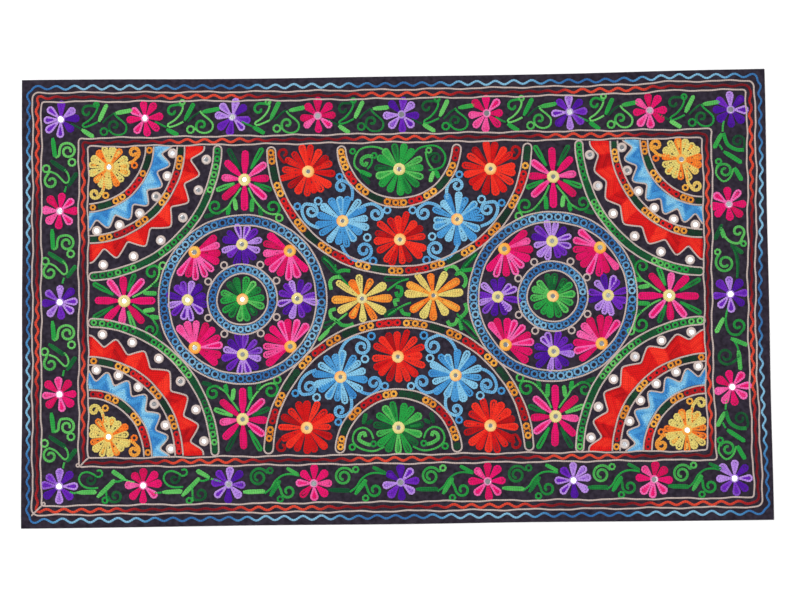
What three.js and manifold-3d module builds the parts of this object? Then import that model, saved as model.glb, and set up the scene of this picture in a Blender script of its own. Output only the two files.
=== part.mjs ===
// Embroidered hanging: one dark cotton cloth, chain stitched in wool, with small round mirrors.
// Millimetres. X runs along the long side, Y across it, and Z up from the underside.
import * as THREE from "three";
import { mergeVertices } from "three/addons/utils/BufferGeometryUtils.js";
import Module from "manifold-3d";

// The cloth and its turned edge
const LENGTH = 1524;
const WIDTH = 914;
const GROUND_THICK = 1.2;
const HEM_WIDTH = 9;
const HEM_TOP = 1.7;
const EDGE_STEPS = { along: 14, across: 9 };

// How far each corner lies from a true rectangle, and how far each edge bows outwards
const CORNER_SHIFT = {
  topLeft: { x: 2, y: 0.5 },
  topRight: { x: 0.5, y: 1.7 },
  bottomRight: { x: -1.8, y: -0.2 },
  bottomLeft: { x: -0.6, y: -2 },
};
const EDGE_BOW = { top: -4.4, right: -0.9, bottom: -0.5, left: -1.4 };
const EDGE_RIPPLE = { rise: 0.5, waves: 5 };

// The needlework is raised from inside the ground up to these heights
const ROOT = 0.6;
const LINE_TOP = 2.2;
const BAND_TOP = 2.4;
const PETAL_TOP = 2.6;

// Mirrors, each on the thread pad at a flower's centre
const MIRROR = { radius: 6, thick: 0.8, sides: 12, gap: 0.3 };
const PAD_RADIUS = 11;
const PAD_STEPS = 4;

// Long lines of the two frames, from the edge inwards
const LINE_WIDTH = 4;
const FRAME_LINES = [
  { left: -747, right: 749, top: 440, bottom: -442 },
  { left: -739, right: 739, top: 429.5, bottom: -430 },
  { left: -729, right: 730, top: 420, bottom: -422 },
  { left: -721, right: 722, top: 411, bottom: -412 },
  { left: -644, right: 650, top: 335, bottom: -335 },
  { left: -635, right: 641, top: 326, bottom: -326 },
  { left: -625, right: 632, top: 317.5, bottom: -317 },
];
const FIELD = FRAME_LINES[FRAME_LINES.length - 1];

// Two round wreaths, each with an outer and an inner ring of loops
const WREATHS = [
  { name: "left", x: -309.5, y: 1 },
  { name: "right", x: 323, y: -1 },
];
const WREATH_RINGS = [
  { inner: 149, outer: 174, sides: 36 },
  { inner: 50, outer: 73, sides: 24 },
];
const WREATH_FLOWER = { petals: 13, reach: 37, valley: 0.78, tip: 0, orbit: 111 };
const WREATH_HEART = { petals: 14, reach: 46, valley: 0.76, tip: 0 };
const WREATH_FAN = { petals: 9, reach: 50, valley: 0.72, tip: 0.5, orbit: 137, sweep: 178 };

// Arches on the long sides of the field, with five flowers under the large one
const ARCHES = [
  { name: "top", x: 13, y: 313, large: 263, small: 118.5, facing: -90 },
  { name: "bottom", x: 6, y: -314, large: 264, small: 119, facing: 90 },
];
const ARCH_BAND = { width: 21, largeSteps: 22, smallSteps: 13 };
const ARCH_FLOWER = { petals: 16, reach: 54, valley: 0.8, tip: 0.5 };
const ARCH_GARLAND = { orbit: 194, spacing: 37.2, count: 5 };
const ARCH_HEART = { petals: 14, reach: 52, valley: 0.8, tip: 0.5, orbit: 50 };

// Flowers between the wreaths, and the long stars beside them
const CENTRE_FLOWER = { petals: 12, reach: 61, reachY: 48, valley: 0.52, tip: 0.5 };
const CENTRE_FLOWERS = [
  { x: -66, y: 0 },
  { x: 80, y: 4 },
];
const STAR = { petals: 8, long: 65, short: 45, valley: 0.3, tip: 0.28, turn: 22.5 };
const STARS = [
  { x: -551, y: 1, upright: false },
  { x: -304, y: 245, upright: true },
  { x: -310, y: -242, upright: true },
  { x: 327, y: 242, upright: true },
  { x: 325, y: -244, upright: true },
  { x: 559, y: -3, upright: false },
];

// Quarter fans in the corners of the field: two toothed bands, and a band of loops round them
const FAN_TEETH = [
  { root: 116, valley: 155, tip: 172, rootSteps: 8 },
  { root: 182, valley: 214, tip: 240, rootSteps: 10 },
];
const FAN_EDGE = { inner: 256, outer: 276, steps: 14 };
const FAN_MIRRORS = 6;
const CORNER_FLOWER = { petals: 16, reach: 42, valley: 0.78, tip: 0, inset: 43 };

// Flowers of the border, one after another along each side
const BORDER_FLOWER = { petals: 8, reach: 34, valley: 0.44, tip: 0, turn: 22.5 };
const BORDER_ROWS = [
  { from: { x: -682, y: 374 }, to: { x: 690, y: 374 }, count: 9 },
  { from: { x: -684, y: -373 }, to: { x: 684, y: -373 }, count: 9 },
  { from: { x: -683, y: 187 }, to: { x: -683, y: -187 }, count: 3 },
  { from: { x: 683, y: 183 }, to: { x: 683, y: -188 }, count: 3 },
];

// Colours and finish
const GROUND_LOOK = { color: 0x2b2732, roughness: 0.95, metalness: 0 };
const MIRROR_LOOK = { color: 0xdfe3e6, roughness: 0.08, metalness: 1 };

const wasm = await Module();
wasm.setup();

const radians = THREE.MathUtils.degToRad;
const mix = THREE.MathUtils.lerp;

function polar(centre, radius, degrees) {
  const angle = radians(degrees);
  return { x: centre.x + radius * Math.cos(angle), y: centre.y + radius * Math.sin(angle) };
}

// Moves a point of the true rectangle to where the real cloth, slightly out of square, has it.
function lay({ x, y }) {
  const across = x / LENGTH + 0.5;
  const up = y / WIDTH + 0.5;
  const shift = (axis) => {
    const low = mix(CORNER_SHIFT.bottomLeft[axis], CORNER_SHIFT.bottomRight[axis], across);
    const high = mix(CORNER_SHIFT.topLeft[axis], CORNER_SHIFT.topRight[axis], across);
    return mix(low, high, up);
  };
  return new THREE.Vector2(x + shift("x"), y + shift("y"));
}

function solidOf(geometry) {
  geometry.deleteAttribute("normal");
  geometry.deleteAttribute("uv");
  const merged = mergeVertices(geometry);
  return new wasm.Manifold(
    new wasm.Mesh({
      numProp: 3,
      vertProperties: new Float32Array(merged.attributes.position.array),
      triVerts: new Uint32Array(merged.index.array),
    }),
  );
}

function geometryOf(solid) {
  const { vertProperties, triVerts } = solid.getMesh();
  const geometry = new THREE.BufferGeometry();
  geometry.setAttribute("position", new THREE.BufferAttribute(vertProperties, 3));
  geometry.setIndex(new THREE.BufferAttribute(triVerts, 1));
  geometry.computeVertexNormals();
  return geometry;
}

// A flat piece between two heights, from its outline and any hole in it.
function slab(outline, top, { base = ROOT, hole = null } = {}) {
  const shape = new THREE.Shape(outline.map(lay));
  if (hole) shape.holes.push(new THREE.Path(hole.map(lay)));
  const geometry = new THREE.ExtrudeGeometry(shape, { depth: top - base, bevelEnabled: false });
  return solidOf(geometry.translate(0, 0, base));
}

// The cloth's edge, drawn in by inset, with each side bowed and a little rippled.
function clothEdge(inset) {
  const halfX = LENGTH / 2;
  const halfY = WIDTH / 2;
  const corners = [
    { x: -halfX, y: -halfY },
    { x: halfX, y: -halfY },
    { x: halfX, y: halfY },
    { x: -halfX, y: halfY },
  ];
  const sides = [
    { bow: EDGE_BOW.bottom, steps: EDGE_STEPS.along, out: { x: 0, y: -1 } },
    { bow: EDGE_BOW.right, steps: EDGE_STEPS.across, out: { x: 1, y: 0 } },
    { bow: EDGE_BOW.top, steps: EDGE_STEPS.along, out: { x: 0, y: 1 } },
    { bow: EDGE_BOW.left, steps: EDGE_STEPS.across, out: { x: -1, y: 0 } },
  ];
  const scale = { x: 1 - inset / halfX, y: 1 - inset / halfY };
  const points = [];
  sides.forEach(({ bow, steps, out }, side) => {
    const start = corners[side];
    const end = corners[(side + 1) % corners.length];
    for (let step = 0; step < steps; step += 1) {
      const t = step / steps;
      const ripple = EDGE_RIPPLE.rise * Math.sin(Math.PI * EDGE_RIPPLE.waves * t);
      const push = bow * Math.sin(Math.PI * t) + ripple;
      points.push({
        x: (mix(start.x, end.x, t) + out.x * push) * scale.x,
        y: (mix(start.y, end.y, t) + out.y * push) * scale.y,
      });
    }
  });
  return points;
}

function rectangle({ left, right, top, bottom }, grow) {
  return [
    { x: left - grow, y: bottom - grow },
    { x: right + grow, y: bottom - grow },
    { x: right + grow, y: top + grow },
    { x: left - grow, y: top + grow },
  ];
}

function circle(centre, radius, sides) {
  return Array.from({ length: sides }, (_, side) => polar(centre, radius, (360 * side) / sides));
}

// A curved band about a centre, between two radii and two bearings.
function band(centre, inner, outer, from, to, steps) {
  const bearings = Array.from({ length: steps + 1 }, (_, step) => mix(from, to, step / steps));
  return [
    ...bearings.map((bearing) => polar(centre, outer, bearing)),
    ...bearings.reverse().map((bearing) => polar(centre, inner, bearing)),
  ];
}

// A flower's outline: a notch between petals, and one or two points at each petal's end.
// A fan has its petals over a part turn, closed behind by the round pad of its mirror.
function flower(centre, kind) {
  const { petals, reach, reachY = reach, valley, tip, turn = 0, sweep = 360 } = kind;
  const pitch = sweep / petals;
  const first = turn - sweep / 2;
  const spot = (share, bearing) => {
    const angle = radians(bearing);
    return {
      x: centre.x + share * reach * Math.cos(angle),
      y: centre.y + share * reachY * Math.sin(angle),
    };
  };
  const points = [];
  for (let petal = 0; petal < petals; petal += 1) {
    const middle = first + (petal + 0.5) * pitch;
    const half = (tip * pitch) / 2;
    if (sweep === 360 || petal > 0) points.push(spot(valley, middle - pitch / 2));
    points.push(spot(1, middle - half));
    if (tip > 0) points.push(spot(1, middle + half));
  }
  if (sweep < 360) {
    for (let step = 0; step <= PAD_STEPS; step += 1) {
      const bearing = first + sweep + ((360 - sweep) * step) / PAD_STEPS;
      points.push(polar(centre, PAD_RADIUS, bearing));
    }
  }
  return points;
}

// A toothed band of a corner fan, with a notch for each mirror and half a tooth at both ends.
function teeth(centre, { root, valley, tip, rootSteps }, from) {
  const pitch = 90 / FAN_MIRRORS;
  const points = [polar(centre, tip, from)];
  for (let notch = 0; notch < FAN_MIRRORS; notch += 1) {
    points.push(polar(centre, valley, from + (notch + 0.5) * pitch));
    points.push(polar(centre, tip, from + (notch + 1) * pitch));
  }
  for (let step = rootSteps; step >= 0; step -= 1) {
    points.push(polar(centre, root, from + (90 * step) / rootSteps));
  }
  return points;
}

const raised = [];
const mirrorSpots = [];

function addFlower(name, centre, kind) {
  raised.push(slab(flower(centre, kind), PETAL_TOP));
  mirrorSpots.push({ name, centre });
}

function addFrames() {
  for (const line of FRAME_LINES) {
    const outline = rectangle(line, LINE_WIDTH / 2);
    raised.push(slab(outline, LINE_TOP, { hole: rectangle(line, -LINE_WIDTH / 2) }));
  }
}

function addWreaths() {
  for (const wreath of WREATHS) {
    for (const { inner, outer, sides } of WREATH_RINGS) {
      const hole = circle(wreath, inner, sides);
      raised.push(slab(circle(wreath, outer, sides), BAND_TOP, { hole }));
    }
    addFlower(`${wreath.name}_wreath_heart`, wreath, WREATH_HEART);
    ["east", "north", "west", "south"].forEach((side, quarter) => {
      const centre = polar(wreath, WREATH_FLOWER.orbit, 90 * quarter);
      addFlower(`${wreath.name}_wreath_${side}`, centre, WREATH_FLOWER);
    });
    ["northeast", "northwest", "southwest", "southeast"].forEach((side, quarter) => {
      const bearing = 45 + 90 * quarter;
      const centre = polar(wreath, WREATH_FAN.orbit, bearing);
      addFlower(`${wreath.name}_wreath_${side}`, centre, { ...WREATH_FAN, turn: bearing + 180 });
    });
  }
}

function addArches() {
  const arches = ARCHES.flatMap((arch) => [
    { arch, radius: arch.large, steps: ARCH_BAND.largeSteps },
    { arch, radius: arch.small, steps: ARCH_BAND.smallSteps },
  ]);
  for (const { arch, radius, steps } of arches) {
    const inner = radius - ARCH_BAND.width / 2;
    const outer = radius + ARCH_BAND.width / 2;
    const outline = band(arch, inner, outer, arch.facing - 90, arch.facing + 90, steps);
    const field = slab(rectangle(FIELD, 0), BAND_TOP);
    raised.push(slab(outline, BAND_TOP).intersect(field));
  }
  for (const arch of ARCHES) {
    const { orbit, spacing, count } = ARCH_GARLAND;
    for (let place = 0; place < count; place += 1) {
      const bearing = arch.facing + (place - (count - 1) / 2) * spacing;
      const centre = polar(arch, orbit, bearing);
      addFlower(`${arch.name}_arch_${place + 1}`, centre, ARCH_FLOWER);
    }
    const heart = polar(arch, ARCH_HEART.orbit, arch.facing);
    addFlower(`${arch.name}_arch_heart`, heart, ARCH_HEART);
  }
}

function addMiddle() {
  CENTRE_FLOWERS.forEach((centre, index) => {
    addFlower(`centre_${index + 1}`, centre, CENTRE_FLOWER);
  });
  STARS.forEach(({ x, y, upright }, index) => {
    const reach = upright ? STAR.short : STAR.long;
    const reachY = upright ? STAR.long : STAR.short;
    addFlower(`star_${index + 1}`, { x, y }, { ...STAR, reach, reachY });
  });
}

function addCorners() {
  const corners = [
    { name: "northwest", x: FIELD.left, y: FIELD.top, middle: -45 },
    { name: "northeast", x: FIELD.right, y: FIELD.top, middle: -135 },
    { name: "southwest", x: FIELD.left, y: FIELD.bottom, middle: 45 },
    { name: "southeast", x: FIELD.right, y: FIELD.bottom, middle: 135 },
  ];
  for (const { name, x, y, middle } of corners) {
    const centre = { x, y };
    const from = middle - 45;
    const { inner, outer, steps } = FAN_EDGE;
    raised.push(slab(band(centre, inner, outer, from, from + 90, steps), BAND_TOP));
    for (const row of FAN_TEETH) raised.push(slab(teeth(centre, row, from), BAND_TOP));
    const flowerSpot = polar(centre, CORNER_FLOWER.inset * Math.SQRT2, middle);
    addFlower(`corner_${name}`, flowerSpot, CORNER_FLOWER);
  }
}

function addBorder() {
  for (const { from, to, count } of BORDER_ROWS) {
    for (let place = 0; place < count; place += 1) {
      const t = place / (count - 1);
      const centre = { x: mix(from.x, to.x, t), y: mix(from.y, to.y, t) };
      raised.push(slab(flower(centre, BORDER_FLOWER), PETAL_TOP));
    }
  }
}

addFrames();
addWreaths();
addArches();
addMiddle();
addCorners();
addBorder();

const sheet = slab(clothEdge(0), GROUND_THICK, { base: 0 });
const hem = slab(clothEdge(0), HEM_TOP, { base: 0, hole: clothEdge(HEM_WIDTH) });
const cloth = raised.reduce((whole, piece) => whole.add(piece), sheet.add(hem));

const group = new THREE.Group();
group.name = "embroidered_hanging";

const clothMesh = new THREE.Mesh(geometryOf(cloth), new THREE.MeshStandardMaterial(GROUND_LOOK));
clothMesh.name = "ground_cloth";
group.add(clothMesh);

for (const { name, centre } of mirrorSpots) {
  const { radius, thick, sides, gap } = MIRROR;
  const disc = new THREE.CylinderGeometry(radius, radius, thick, sides);
  const mirror = new THREE.Mesh(disc, new THREE.MeshStandardMaterial(MIRROR_LOOK));
  const spot = lay(centre);
  mirror.name = `mirror_${name}`;
  mirror.rotation.x = Math.PI / 2;
  mirror.position.set(spot.x, spot.y, PETAL_TOP + gap + thick / 2);
  group.add(mirror);
}

// The origin is under the middle of the whole piece.
const middle = new THREE.Box3().setFromObject(clothMesh).getCenter(new THREE.Vector3());
group.children.forEach((piece) => {
  piece.position.x -= middle.x;
  piece.position.y -= middle.y;
});

export default group;
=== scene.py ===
import math

import bpy
import numpy as np
from mathutils import Euler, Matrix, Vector


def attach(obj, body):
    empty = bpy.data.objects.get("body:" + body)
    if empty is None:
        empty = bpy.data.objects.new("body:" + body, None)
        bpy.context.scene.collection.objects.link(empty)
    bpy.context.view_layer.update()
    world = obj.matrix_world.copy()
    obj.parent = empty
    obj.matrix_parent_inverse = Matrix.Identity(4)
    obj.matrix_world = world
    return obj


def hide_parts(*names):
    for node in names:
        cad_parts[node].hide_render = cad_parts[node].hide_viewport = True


# Embroidered cotton hanging, laid flat with its stitched face up.
# Sizes here are millimetres, x along the long side and y across it; meshes are made in metres.

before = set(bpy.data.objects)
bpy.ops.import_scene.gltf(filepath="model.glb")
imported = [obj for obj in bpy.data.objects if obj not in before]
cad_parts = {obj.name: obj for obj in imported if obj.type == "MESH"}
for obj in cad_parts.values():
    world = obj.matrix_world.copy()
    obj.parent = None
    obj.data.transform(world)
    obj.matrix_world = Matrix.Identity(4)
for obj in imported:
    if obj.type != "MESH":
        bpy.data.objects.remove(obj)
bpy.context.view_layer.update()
rng = np.random.default_rng(52)
metre = 0.001
fullTurn = 6.28  # radians, the range of a random phase

cloth = {
    "length": 1524, "width": 914, "thick": 1.2, "cell": 8,
    # how far each corner is out of true, along x and y
    "cornerShift": {"topLeft": (2, 0.5), "topRight": (0.5, 1.7),
                    "bottomRight": (-1.8, -0.2), "bottomLeft": (-0.6, -2)},
    # how far each edge bows out, or in where it is negative, and how fast that dies away from the edge
    "edgeBow": {"top": -4.4, "right": -0.9, "bottom": -0.5, "left": -1.4}, "bowPower": 6,
    "rippleRise": 0.5, "rippleWaves": 5,
    "hemWidth": 9, "hemRise": 0.5, "afterHem": 1.2,
    # the fold along the edge: rows from the edge in, tops of the first two, underside of the first
    "foldRows": (0, 0.5, 1.6, 4.5), "foldTops": (0.55, 1.35), "foldLow": 0.45,
    "puckers": 7, "puckerHeight": 1.1, "puckerPace": 0.02, "puckerSum": 3.2,
    "roughness": 0.95, "specular": 0.03, "blotchScale": 120, "blotchDetail": 5,
    "dyes": [(0.3, (34, 29, 38)), (0.7, (56, 50, 62))],
    "weavePerMetre": 7000.0, "weaveTint": (-1.0, 1.0, 0.85, 1.12), "weaveBump": 0.3, "weaveDepth": 0.0003,
}


def lay(points):
    # from the true rectangle to the real cloth, a little out of square
    points = np.asarray(points, float)
    across = points[:, 0] / cloth["length"] + 0.5
    up = points[:, 1] / cloth["width"] + 0.5
    shift = cloth["cornerShift"]
    low = np.outer(1 - across, shift["bottomLeft"]) + np.outer(across, shift["bottomRight"])
    high = np.outer(1 - across, shift["topLeft"]) + np.outer(across, shift["topRight"])
    return points + low * (1 - up)[:, None] + high * up[:, None]


pace = cloth["puckerPace"]
puckers = [
    {"x": rng.uniform(-pace, pace), "y": rng.uniform(-pace, pace), "phase": rng.uniform(0, fullTurn)}
    for _ in range(cloth["puckers"])
]


def lift(points):
    # how far the cloth stands off the floor: slight puckers between the stitching
    total = sum(np.sin(points[:, 0] * p["x"] + points[:, 1] * p["y"] + p["phase"]) for p in puckers)
    return cloth["puckerHeight"] * 0.5 * (1 + np.clip(total / cloth["puckerSum"], -1, 1))


def linearColour(red, green, blue):
    def one(value):
        value = value / 255
        return value / 12.92 if value <= 0.04045 else ((value + 0.055) / 1.055) ** 2.4
    return (one(red), one(green), one(blue), 1)


# Paths: arrays of points, one row each

def polar(centre, radius, degrees):
    angle = math.radians(degrees)
    return np.array([centre[0] + radius * math.cos(angle), centre[1] + radius * math.sin(angle)])


def arc(centre, radius, start, end, steps=24):
    angles = np.radians(np.linspace(start, end, steps))
    return np.column_stack([centre[0] + radius * np.cos(angles), centre[1] + radius * np.sin(angles)])


def curve(points, steps=10):
    # a smooth line through a few points
    points = np.asarray(points, float)
    if len(points) < 3:
        return points
    padded = np.vstack([2 * points[0] - points[1], points, 2 * points[-1] - points[-2]])
    t = np.linspace(0, 1, steps, endpoint=False)[:, None]
    pieces = []
    for a, b, c, d in zip(padded[:-3], padded[1:-2], padded[2:-1], padded[3:]):
        pieces.append(0.5 * (2 * b + (c - a) * t + (2 * a - 5 * b + 4 * c - d) * t ** 2
                             + (3 * b - a - 3 * c + d) * t ** 3))
    return np.vstack(pieces + [points[-1:]])


curl = {"degreesPerStep": 14, "leastSteps": 8, "curveSteps": 4, "innerShare": 0.3, "easing": 0.85}


def spiral(centre, radius, start, sweep):
    steps = max(curl["leastSteps"], int(abs(sweep) / curl["degreesPerStep"]))
    t = np.linspace(0, 1, steps)
    angles = np.radians(start + sweep * t)
    reach = radius * (1 - (1 - curl["innerShare"]) * t ** curl["easing"])
    return np.column_stack([centre[0] + reach * np.cos(angles), centre[1] + reach * np.sin(angles)])


def lengthAlong(path):
    return np.concatenate([[0], np.cumsum(np.hypot(*np.diff(path, axis=0).T))])


def sampleAt(path, distances):
    run = lengthAlong(path)
    return np.column_stack([np.interp(distances, run, path[:, 0]), np.interp(distances, run, path[:, 1])])


def sideways(path, closed=False):
    if closed:
        ahead = np.roll(path, -1, axis=0) - np.roll(path, 1, axis=0)
    else:
        ahead = np.gradient(path, axis=0)
    ahead /= np.maximum(np.hypot(ahead[:, 0], ahead[:, 1]), 1e-9)[:, None]
    return np.column_stack([-ahead[:, 1], ahead[:, 0]])


def turned(points, degrees, centre=(0, 0), flipX=False, flipY=False):
    points = np.atleast_2d(np.asarray(points, float)).copy()
    if flipX:
        points[:, 0] *= -1
    if flipY:
        points[:, 1] *= -1
    angle = math.radians(degrees)
    spin = np.array([[math.cos(angle), math.sin(angle)], [-math.sin(angle), math.cos(angle)]])
    return points @ spin + np.asarray(centre)


# Thread: every sewn line is kept in its colour's basket, then each basket becomes one mesh

thread = {
    "width": 4.6, "height": 1.5, "link": 4.8, "sunk": 0.35, "shortest": 1.5,
    "lineWidth": 4.4, "boldWidth": 7.4, "leafWidth": 9.0, "leafThread": 5.2,
    "ringWidth": 4.5, "ringSteps": 19,
    # a curl is two rows side by side, each this share of its whole width
    "curlWidth": {"green": 5.0, "blue": 6.3, "yellow": 6.6, "red": 6.3}, "pairShare": 0.56,
    # how far a line wanders: in long and shorter waves, and less in curls and rings
    "wobble": 0.3, "wobbleLength": 120, "wobbleShares": (1.0, 0.37), "pairWobble": 0.1, "ringWobble": 0.12,
    # links swell and narrow in turn, with a little chance
    "beatWidth": 0.09, "beatHeight": 0.10, "widthSpread": 0.03, "heightSpread": 0.05,
    "shadeCycle": 760, "shadeSpread": 0.07,
    "profile": [(-0.5, 0.0), (-0.33, 0.86), (0.33, 0.86), (0.5, 0.0)],  # across the thread, and up
}
cord = {"width": 3.7, "height": 2.0, "link": 3.6, "shade": 0.5, "ringHeight": 1.9}
baskets = {}
threadRun = {}


def sew(colour, path, width=None, height=None, closed=False, shade=None, wobble=None):
    # shade is how far along its dye the thread is, 0 to 1, for the whole path or for each point;
    # with none, the dye's run goes on from the line before
    path = np.asarray(path, float)
    if closed:
        path = np.vstack([path, path[:1]])
        shade = np.append(shade, shade[:1]) if np.ndim(shade) else shade
    length = lengthAlong(path)[-1]
    if length < thread["shortest"]:
        return
    start = threadRun.setdefault(colour, rng.uniform(0, thread["shadeCycle"]))
    threadRun[colour] = start + length
    baskets.setdefault(colour, []).append({
        "path": path, "width": width or thread["width"], "height": height or thread["height"],
        "closed": closed, "shade": shade, "start": start,
        "wobble": thread["wobble"] if wobble is None else wobble,
        "link": cord["link"] if colour == "cord" else thread["link"],
    })


def couch(path, wobble, closed=False):
    sew("cord", path, cord["width"], cord["height"], closed, cord["shade"], wobble)


def couchRing(centre, radius, width, wobble, steps):
    path = arc(centre, radius, 0, 360, steps)[:-1]
    sew("cord", path, width, cord["ringHeight"], True, cord["shade"], wobble)


def strandArrays(strand):
    path = strand["path"]
    total = lengthAlong(path)[-1]
    steps = max(3, int(round(total / (strand["link"] / 2))))
    if strand["closed"]:
        steps += steps % 2
        distances = np.linspace(0, total, steps, endpoint=False)
    else:
        distances = np.linspace(0, total, steps + 1)
    points = sampleAt(path, distances)
    normal = sideways(points, strand["closed"])
    wave = np.zeros(len(points))
    for share in thread["wobbleShares"]:
        cycles = max(1, round(total / (thread["wobbleLength"] * share)))
        wave += share * np.sin(2 * np.pi * cycles * distances / total + rng.uniform(0, fullTurn))
    points = points + normal * (strand["wobble"] * wave / sum(thread["wobbleShares"]))[:, None]
    beat = np.where(np.arange(len(points)) % 2 == 0, 1.0, -1.0)
    swell = 1 + thread["beatWidth"] * beat + rng.normal(0, thread["widthSpread"], len(points))
    rise = 1 + thread["beatHeight"] * beat + rng.normal(0, thread["heightSpread"], len(points))
    if strand["shade"] is None:
        turn = (strand["start"] + distances) / thread["shadeCycle"] % 1
        shade = np.abs(2 * turn - 1)
    elif np.ndim(strand["shade"]):
        shade = np.interp(distances, lengthAlong(path), strand["shade"])
    else:
        shade = np.full(len(points), float(strand["shade"]))
    return points, normal, strand["width"] * swell, strand["height"] * rise, shade, distances


def threadMesh(name, strands):
    verts, marks, faces = [], [], []
    first = 0
    profile = thread["profile"]
    sides = len(profile)
    for strand in strands:
        points, normal, width, height, shade, distances = strandArrays(strand)
        count = len(points)
        laid = lay(points)
        ground = cloth["thick"] - thread["sunk"] + lift(laid)
        rings = np.zeros((count, sides, 3))
        for k, (across, up) in enumerate(profile):
            rings[:, k, :2] = laid + normal * (width * across)[:, None]
            rings[:, k, 2] = ground + (height + thread["sunk"]) * up
        mark = np.zeros((count, sides, 3))
        mark[:, :, 0] = (distances / strand["link"])[:, None]
        mark[:, :, 1] = [across for across, _ in profile]
        mark[:, :, 2] = shade[:, None]
        verts.append(rings.reshape(-1, 3))
        marks.append(mark.reshape(-1, 3))
        ids = first + np.arange(count * sides).reshape(count, sides)
        ahead = np.roll(ids, -1, axis=0) if strand["closed"] else ids[1:]
        here = ids if strand["closed"] else ids[:-1]
        for k in range(sides):
            j = (k + 1) % sides
            faces.append(np.column_stack([here[:, k], here[:, j], ahead[:, j], ahead[:, k]]))
        if not strand["closed"]:
            faces.append(ids[:1, ::-1])
            faces.append(ids[-1:, :])
        first += count * sides
    verts = np.vstack(verts) * metre
    marks = np.vstack(marks)
    faces = np.vstack(faces)
    return meshObject(name, verts, faces, marks)


def meshObject(name, verts, faces, marks=None, smooth=True):
    mesh = bpy.data.meshes.new(name)
    mesh.vertices.add(len(verts))
    mesh.vertices.foreach_set("co", np.asarray(verts, np.float32).ravel())
    corners = faces.shape[1]
    mesh.loops.add(faces.size)
    mesh.loops.foreach_set("vertex_index", faces.astype(np.int32).ravel())
    mesh.polygons.add(len(faces))
    mesh.polygons.foreach_set("loop_start", np.arange(0, faces.size, corners, dtype=np.int32))
    mesh.polygons.foreach_set("use_smooth", np.full(len(faces), smooth))
    mesh.update(calc_edges=True)
    mesh.validate()
    if marks is not None:
        layer = mesh.attributes.new("stitch", "FLOAT_VECTOR", "POINT")
        layer.data.foreach_set("vector", np.asarray(marks, np.float32).ravel())
    piece = bpy.data.objects.new(name, mesh)
    bpy.context.scene.collection.objects.link(piece)
    return piece


# Stitched motifs

petals = {
    "pack": 0.9,  # step from one loop to the next, in thread widths
    "leastHalf": 0.3, "early": 0.35,  # in steps: the narrowest loop, and how soon a middle line starts
    "heelShare": 0.7, "heelHalf": 0.15, "capPoints": 9, "mostLoops": 9,
    # how far past its start a loop bends, the room that bend needs, how far a filling line runs on, and the
    # shortest line up the middle
    "bendAfter": 0.5, "bendRoom": 1, "fillPast": 1, "leastMiddle": 4,
    "widestPitch": 36, "slopeShare": 0.89,
    "turnSpread": 0.07, "reachSpread": 0.035, "widthSpread": 0.05, "toneSpread": 0.05,
}
leaves = {"hole": 1.5, "fullest": 0.5, "slope": 1.6, "wedgeSlope": 0.8, "innerShade": 0.9, "pastTip": 1}


def petalLoops(centre, bearing, reach, width, slope, hole, most):
    # a wedge that opens into a bar with a round end: nested loops from the outside in,
    # then a line up the middle where room is left
    step = thread["width"] * petals["pack"]
    early = petals["early"] * step
    least = petals["leastHalf"] * step
    loops = []
    fillers = []
    inset = thread["width"] / 2

    def place(local):
        return turned(np.array(local), bearing, centre)
    while len(loops) < most:
        half = width / 2 - inset
        if half < least:
            break
        begin = max(hole, petals["heelShare"] * inset / slope)
        beginHalf = max(begin * slope - inset, petals["heelHalf"])
        bend = max(begin + petals["bendAfter"], width / 2 / slope)
        angles = np.radians(np.linspace(90, -90, petals["capPoints"]))
        cap = [(reach - width / 2 + half * math.cos(a), half * math.sin(a)) for a in angles]
        roomToBend = bend < reach - width / 2 - petals["bendRoom"]
        side = [(begin, beginHalf)] + ([(bend, half)] if roomToBend else [])
        loops.append(place(side + cap + [(x, -y) for x, y in reversed(side)]))
        inset += step
        if width / 2 - inset > least and len(loops) < most:
            # the wedge ahead of the next loop is filled by a stitch line of its own
            begin = max(hole, (inset - early) / slope)
            fillers.append(place([(begin, 0), (inset / slope + petals["fillPast"], 0)]))
    if len(loops) < most and width / 2 - inset > -early:
        begin = max(hole, (inset - early) / slope)
        loops.append(place([(min(begin, reach - inset - petals["leastMiddle"]), 0), (reach - inset, 0)]))
    loops += fillers
    return loops


def petal(colour, centre, bearing, reach, width, slope, hole, shades, most=petals["mostLoops"],
          strand=None):
    for k, loop in enumerate(petalLoops(centre, bearing, reach, width, slope, hole, most)):
        sew(colour, loop, shade=shades[min(k, len(shades) - 1)], width=strand)


def flower(colour, centre, count, reach, width, hole, turn=0, sweep=360, **habit):
    # petals in a ring, or in a fan over part of one; habit may say reachY, slope, tones, jog for how uneven
    # they are and mix for how often the tone changes
    reachY = habit.get("reachY", reach)
    jog = habit.get("jog", 1.0)
    pitch = sweep / count
    first = turn - sweep / 2 + pitch / 2 if sweep < 360 else turn
    slope = math.tan(math.radians(min(pitch, petals["widestPitch"]) / 2)) * petals["slopeShare"]
    slope = habit.get("slope", slope)
    tone = int(rng.integers(100))
    for k in range(count):
        bearing = first + k * pitch + rng.normal(0, petals["turnSpread"]) * pitch * jog
        angle = math.radians(bearing)
        long = 1 / math.hypot(math.cos(angle) / reach, math.sin(angle) / reachY)
        long *= 1 + rng.normal(0, petals["reachSpread"]) * jog
        if rng.random() < habit.get("mix", 0.7):
            tone += 1
        wide = width * (1 + rng.normal(0, petals["widthSpread"]) * jog)
        shades = petalShades(habit.get("tones", colour), tone)
        petal(colour, centre, bearing, long, wide, slope, hole, shades)


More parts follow.
